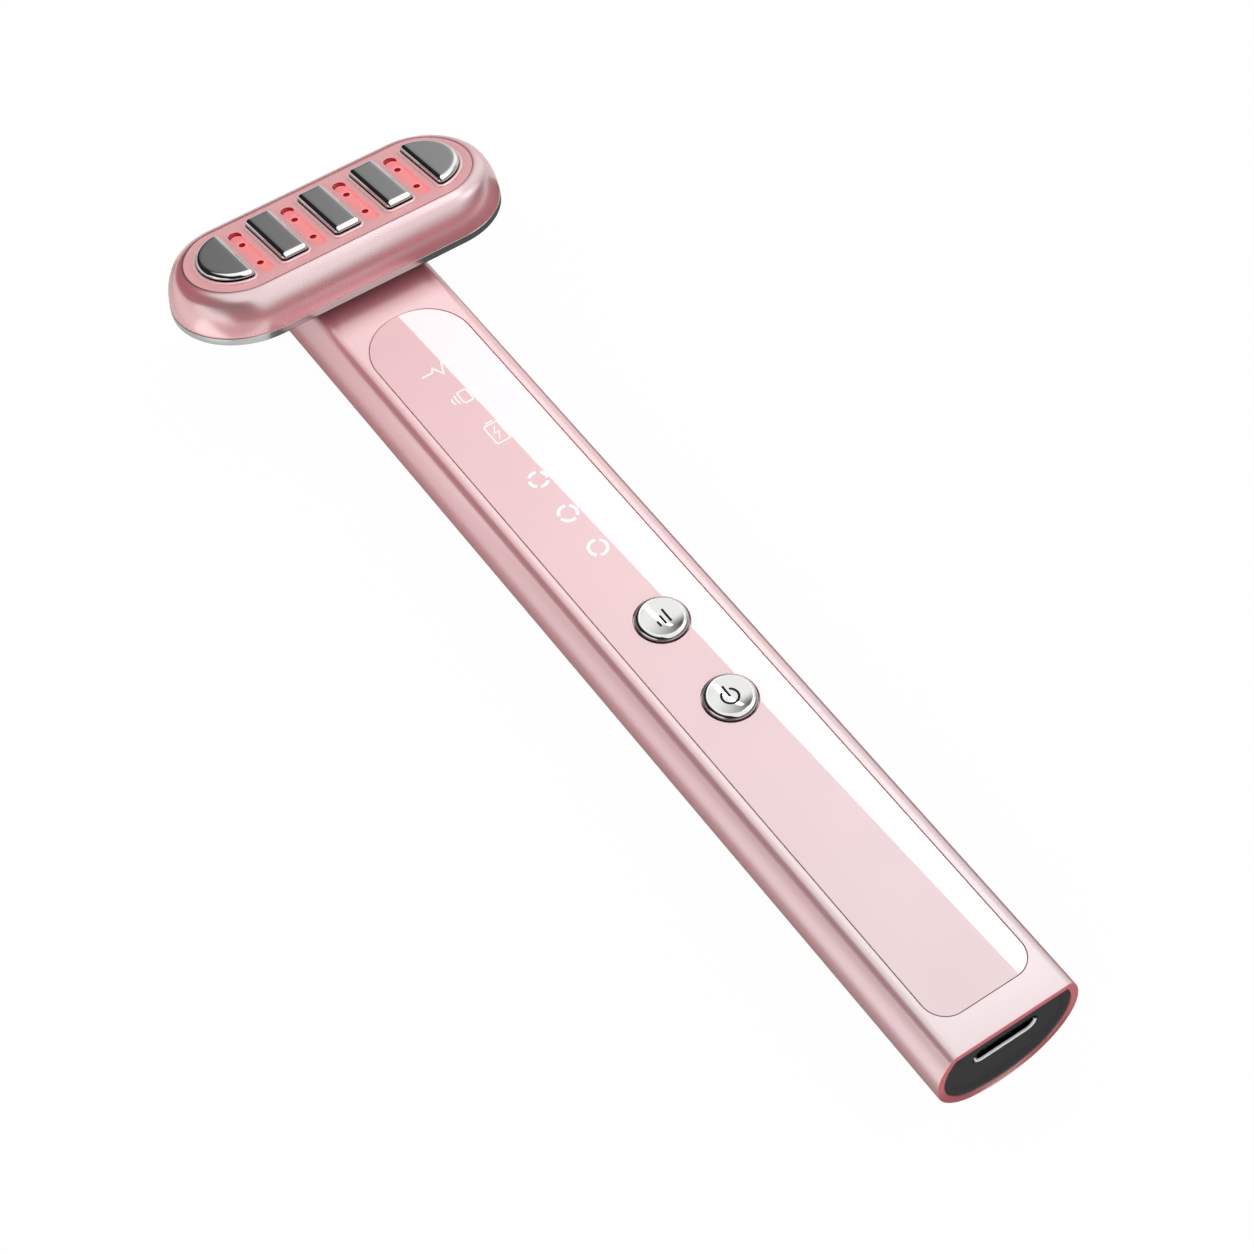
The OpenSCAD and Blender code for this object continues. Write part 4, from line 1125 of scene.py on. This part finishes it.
def lips_skin():
    skin = Skin()
    bead = arc((SEAL_W - BEAD_R, SEAL_TOP - BEAD_R), BEAD_R, 0, 90, 6)
    rows = [(POCKET_GAP, PLATE_TOP), (SEAL_W, PLATE_TOP), *bead, (0.1, SEAL_TOP),
            (POCKET_GAP, SEAL_TOP - 0.07), (POCKET_GAP, PLATE_TOP)]
    for i in CONTACTS.values():
        skin.loft([up(contact_outline(i, grow), z) for grow, z in rows])
    return skin


# Painted highlight: the lip's crest is painted pale and given a faint glow.
crest_highlight = soft_step(place_on_head(clear_lip)[2], SEAL_TOP - 0.1, SEAL_TOP - 0.02)
tint(clear_lip, crest_highlight, srgb(252, 212, 212))
tint(clear_lip, crest_highlight, srgb(150, 120, 120), "Emission Color")
lips = make_object("contact_lips", lips_skin(), on_head)
finish_piece(lips, "head", "clear_seal", clear_lip, "electrode_seals")

# %% [markdown]
# ## The pieces that stay as the CAD made them
# What is inside keeps its CAD shape, and gets a finish by its material slot in the record.
# %% Finishes of the inner pieces
def board_finish():
    """Green lacquer over paler tracks, which lie along the joints of a brick pattern."""
    material = finish("board_green", srgb(28, 92, 58), 0.3, bump=0.1)
    bricks = add_node(material.node_tree, "TexBrick", Scale=700.0, Mortar_Size=0.05,
                      Vector=add_node(material.node_tree, "TexCoord").outputs["Object"])
    tint(material, Worked(bricks.outputs["Fac"]), srgb(70, 140, 84))
    return material


INNER = {
    "steel": port_metal, "board_green": board_finish(),
    "chip_black": finish("chip_black", srgb(34, 34, 36), 0.45, bump=0.25),
    "white_plastic": finish("white_plastic", srgb(226, 224, 218), 0.42, bump=0.12),
    "light_clear": finish("light_clear", srgb(240, 238, 236), 0.2, Transmission_Weight=0.7),
    "led_white": finish("led_white", srgb(246, 240, 214), 0.3, bump=0.1),
    "lamp_red": finish("lamp_red", srgb(156, 6, 20), 0.3, bump=0.0, IOR=1.2,
                       Emission_Color=srgb(150, 2, 12), Emission_Strength=0.5),
    "cell_foil": finish("cell_foil", srgb(190, 193, 200), 0.3, metal=0.8, bump=0.3),
    "foam_grey": finish("foam_grey", srgb(70, 70, 74), 0.95, tone=0.3, bump=0.9, grain_scale=2500),
    "rubber_black": finish("rubber_black", srgb(30, 30, 32), 0.7, bump=0.3),
    "bush_bronze": finish("bush_bronze", srgb(196, 158, 96), 0.35, metal=1.0, bump=0.2),
    "weight_metal": finish("weight_metal", srgb(150, 146, 134), 0.45, metal=1.0, bump=0.3),
    "wire_red": finish("wire_red", srgb(176, 36, 34), 0.5, bump=0.2),
    "film_amber": finish("film_amber", srgb(196, 122, 42), 0.25, bump=0.1),
    "cap_black": cap_black, "clear_seal": clear_lip}

dressed = 0
for node in frame["nodes"].values():
    for slot in node.material_slots:
        kind = slot.material.name.split(".")[0] if slot.material else None
        if kind in INNER:
            slot.material = INNER[kind]
            dressed += 1
print("CAD slots with a new finish", dressed)

# %% [markdown]
# ## Floor and light
# The floor is a plain white sheet. Seen by the camera or in a reflection it is white, and where
# the object stands it keeps a soft shadow. From below it is clear, so the underside can be seen.
# %% Floor
def mix_shaders(share, first, second):
    """The first shader where share is 0, the second where it is 1."""
    mix = add_node(first.id_data, "MixShader", Fac=share)
    feed(mix.inputs[1], first.outputs[0])
    feed(mix.inputs[2], second.outputs[0])
    return mix


def floor_finish(to_camera=0.94, to_mirrors=0.1, white=1.02):
    """White paint, with a share of plain white light for the camera and one for reflections."""
    material = bpy.data.materials.new("floor_white")
    material.use_nodes = True
    tree = material.node_tree
    paint = fill(shader_of(material), Base_Color=(0.95, 0.95, 0.95, 1), Roughness=0.9,
                 Specular_IOR_Level=0.0)
    rays = add_node(tree, "LightPath").outputs
    seen = larger(rays["Is Camera Ray"], rays["Is Transmission Ray"])
    share = seen * to_camera + Worked(rays["Is Glossy Ray"]) * to_mirrors
    above = mix_shaders(share, paint, add_node(tree, "Emission", Strength=white))
    below = add_node(tree, "NewGeometry").outputs["Backfacing"]
    both_sides = mix_shaders(below, above, add_node(tree, "BsdfTransparent"))
    fill(tree.nodes["Material Output"], Surface=both_sides.outputs[0])
    return material


def flat_card(name, corners, material):
    mesh = bpy.data.meshes.new(name)
    mesh.from_pydata((np.array(corners, float) * MM).tolist(), [], [(0, 1, 2, 3)])
    mesh.materials.append(material)
    card = bpy.data.objects.new(name, mesh)
    bpy.context.scene.collection.objects.link(card)
    return card


FLOOR = 4000
flat_card("floor", [(-FLOOR, -FLOOR, 0), (FLOOR, -FLOOR, 0), (FLOOR, FLOOR, 0), (-FLOOR, FLOOR, 0)],
          floor_finish())

# %% [markdown]
# Cards lie on the floor, as in a studio, and only reflections see them. Dark ones in front, on
# the right and close by on the left darken the cut edge of the tube, the cap and the low sides; the
# one close by on the left is painted shade, for the shaded floor beside the handle.
# Bright ones further left and beside the head light the handle's left side and the head's end.
# %% Cards on the floor
CARD_Z, CARD_FROM, CARD_RUN = 0.3, -80.0, 175.0


def card_finish(name, near, far):
    """Plain light that runs evenly from the level near at y = -80 to the level far at y = 95."""
    material = bpy.data.materials.new(name)
    material.use_nodes = True
    nodes = material.node_tree.nodes
    nodes.remove(nodes["Principled BSDF"])
    share = math_node("DIVIDE", place_in_mm(material)[1] - CARD_FROM, CARD_RUN)
    glow = add_node(material.node_tree, "Emission", Strength=larger(share * (far - near) + near, 0.0))
    fill(nodes["Material Output"], Surface=glow.outputs[0])
    return material


for name, x0, y0, x1, y1, near, far in (("card_front", -16, -150, 16, -81.8, 0.1, 0.1),
                                        ("card_right", 16, -150, 150, 80, 0.12, 0.12),
                                        # The close card is painted shade: a dark sheet for the shaded floor
                                        # beside the handle.
                                        ("shade_card_close", -19, -81, -6, 90, 0.15, 0.15),
                                        ("card_left", -46, -150, -19, 190, 1.25, 0.55),
                                        ("card_far_left", -190, -150, -46, 44, 0.4, 0.4),
                                        ("card_by_head", -190, 44, -46, 76, 1.4, 1.4)):
    card = flat_card(name, [(x, y, CARD_Z) for x, y in ((x0, y0), (x1, y0), (x1, y1), (x0, y1))],
                     card_finish(name, near, far))
    card.visible_camera = card.visible_diffuse = card.visible_shadow = card.visible_transmission = False

# %% [markdown]
# ## Camera
# The camera stands where the photograph was taken from: 85 mm lens, looking down at 53.8 degrees
# from the handle's left.
# %% Camera
CAMERA_AT = np.array([-134.770, -194.441, 325.940])
AZIMUTH, ELEVATION = radians(-34.974), radians(53.789)

back = Vector((sin(AZIMUTH) * cos(ELEVATION), -cos(AZIMUTH) * cos(ELEVATION), sin(ELEVATION)))
lens = bpy.data.cameras.new("camera")
lens.lens, lens.sensor_width = 85.0, 36.0
lens.clip_start, lens.clip_end = 0.01, 20.0
camera = bpy.data.objects.new("camera", lens)
camera.location = CAMERA_AT * MM
camera.rotation_mode = "QUATERNION"
camera.rotation_quaternion = (-back).to_track_quat("-Z", "Y")
bpy.context.scene.collection.objects.link(camera)
bpy.context.scene.camera = camera

# %% [markdown]
# ## The softboxes
# The glossy panel mirrors a long strip light, whose left edge crosses the panel almost along it.
# A mirror shows a thing as if the camera stood below the panel, so the light's edge lies on the
# two lines from that mirrored camera through the two ends of the edge that the panel shows. A
# large softbox stands higher on the right, over the open end.
# %% Softboxes
STRIP_Z, STRIP_W, STRIP_BEYOND, STRIP_LEVEL = 400.0, 45.0, 60.0, 3.1
EDGE_SEEN = np.array([(0.35, 54.75, FACE_Z), (4.58, -76.97, FACE_Z)])
SOFT_AT, SOFT_W, SOFT_LEVEL = np.array([480.0, -150.0, 520.0]), 260.0, 1.1


def softbox(name, centre, across, up_way, size, level):
    """An area light of the given brightness: power = level * pi * area."""
    lamp = bpy.data.lights.new(name, "AREA")
    lamp.shape, lamp.size, lamp.size_y = "RECTANGLE", size[0] * MM, size[1] * MM
    lamp.energy = level * np.pi * size[0] * size[1] * MM ** 2
    axes = Matrix([across, up_way, np.cross(across, up_way)]).transposed()
    thing = bpy.data.objects.new(name, lamp)
    thing.matrix_world = Matrix.Translation(centre * MM) @ axes.to_4x4()
    thing.visible_camera = False
    bpy.context.scene.collection.objects.link(thing)
    return thing


mirrored = CAMERA_AT * [1, 1, -1] + [0, 0, 2 * FACE_Z]
reach = (STRIP_Z - mirrored[2]) / (FACE_Z - mirrored[2])
edge_ends = mirrored + (EDGE_SEEN - mirrored) * reach
run = edge_ends[0] - edge_ends[1]
run_length = np.linalg.norm(run)
run /= run_length
outward = np.array([run[1], -run[0], 0.0])
strip_centre = edge_ends.mean(0) + outward * STRIP_W / 2
softbox("strip", strip_centre, outward, run, (STRIP_W, run_length + 2 * STRIP_BEYOND), STRIP_LEVEL)

aim = SOFT_AT / np.linalg.norm(SOFT_AT)
beside = np.cross([0, 0, 1.0], aim)
beside /= np.linalg.norm(beside)
softbox("high_right", SOFT_AT, beside, np.cross(aim, beside), (SOFT_W, SOFT_W), SOFT_LEVEL)
print("strip at", strip_centre.round(1), "length", round(run_length + 2 * STRIP_BEYOND, 1))

# %% [markdown]
# ## The room
# Metal looks like metal because it mirrors dark and light parts of a room. The room is white to
# the camera. In reflections it is white on the right and overhead, and dark in a soft band round
# the rest of the horizon. The band is high at the left, a little lower behind the head and low at
# the front right. Straight to the left its lower edge rises off the floor.
# %% Room
ROOM_FLOOR, ROOM_FRONT, WHITE, DARK = 1.3, 0.75, 1.25, 0.02
LIGHT_SIDE, LIGHT_EDGE, LEAN, LEAN_FROM = 60.0, 57.0, 0.2, 30.0
BAND_TOP, DIP_FRONT, DIP_BACK, RISE_LEFT = 62.0, 42.0, 16.0, 16.0
FRONT_LIGHT = (-0.72, -0.45, 0.53)

world = bpy.data.worlds.new("studio")
world.use_nodes = True
bpy.context.scene.world = world
room = world.node_tree
looking = add_node(room, "TexCoord").outputs["Generated"]
way = add_node(room, "SeparateXYZ", Vector=looking).outputs
height = math_node("DEGREES", math_node("ARCSINE", way["Z"]))
turned = math_node("DEGREES", math_node("ARCTAN2", way["X"], way["Y"]))


def towards(azimuth):
    """cos(turned - azimuth): 1 towards an azimuth, 0 square to it."""
    return math_node("COSINE", math_node("RADIANS", turned - azimuth))


off_light = abs(math_node("WRAP", turned - LIGHT_SIDE, 180.0, -180.0))
side = soft_step(off_light - (height - LEAN_FROM) * LEAN, 0.0, LIGHT_EDGE)
top = BAND_TOP - soft_step(towards(140.0), 0.3, 0.75) * DIP_FRONT
top = top - soft_step(towards(10.0), 0.5, 0.95) * DIP_BACK
below_top = falling(height - top, -9.0, 9.0)
above_floor = soft_step(height - soft_step(towards(-100.0), 0.8, 0.97) * RISE_LEFT, -6.0, 3.0)
mirrored_level = WHITE - side * below_top * above_floor * (WHITE - DARK)

# %% [markdown]
# Matt surfaces get their light from the same room, but softly: most of it from low down, where a
# white floor would send it, and some from the front left.
# %% Light for matt surfaces
lamp_way = add_node(room, "VectorMath", Vector=looking)
lamp_way.operation = "DOT_PRODUCT"
lamp_way.inputs[1].default_value = FRONT_LIGHT
soft_level = (1 - Worked(way["Z"])) * ROOM_FLOOR + larger(lamp_way.outputs["Value"], 0.0) * ROOM_FRONT

rays = add_node(room, "LightPath").outputs
glossy = Worked(rays["Is Glossy Ray"])
seen = larger(rays["Is Camera Ray"], rays["Is Transmission Ray"])
shown = soft_level * (1 - (seen + glossy)) + (seen + mirrored_level * glossy)
fill(room.nodes["Background"], Strength=shown, Color=(1, 1, 1, 1))
bpy.context.scene.view_settings.view_transform = "Standard"
print("nodes in the room", len(room.nodes))
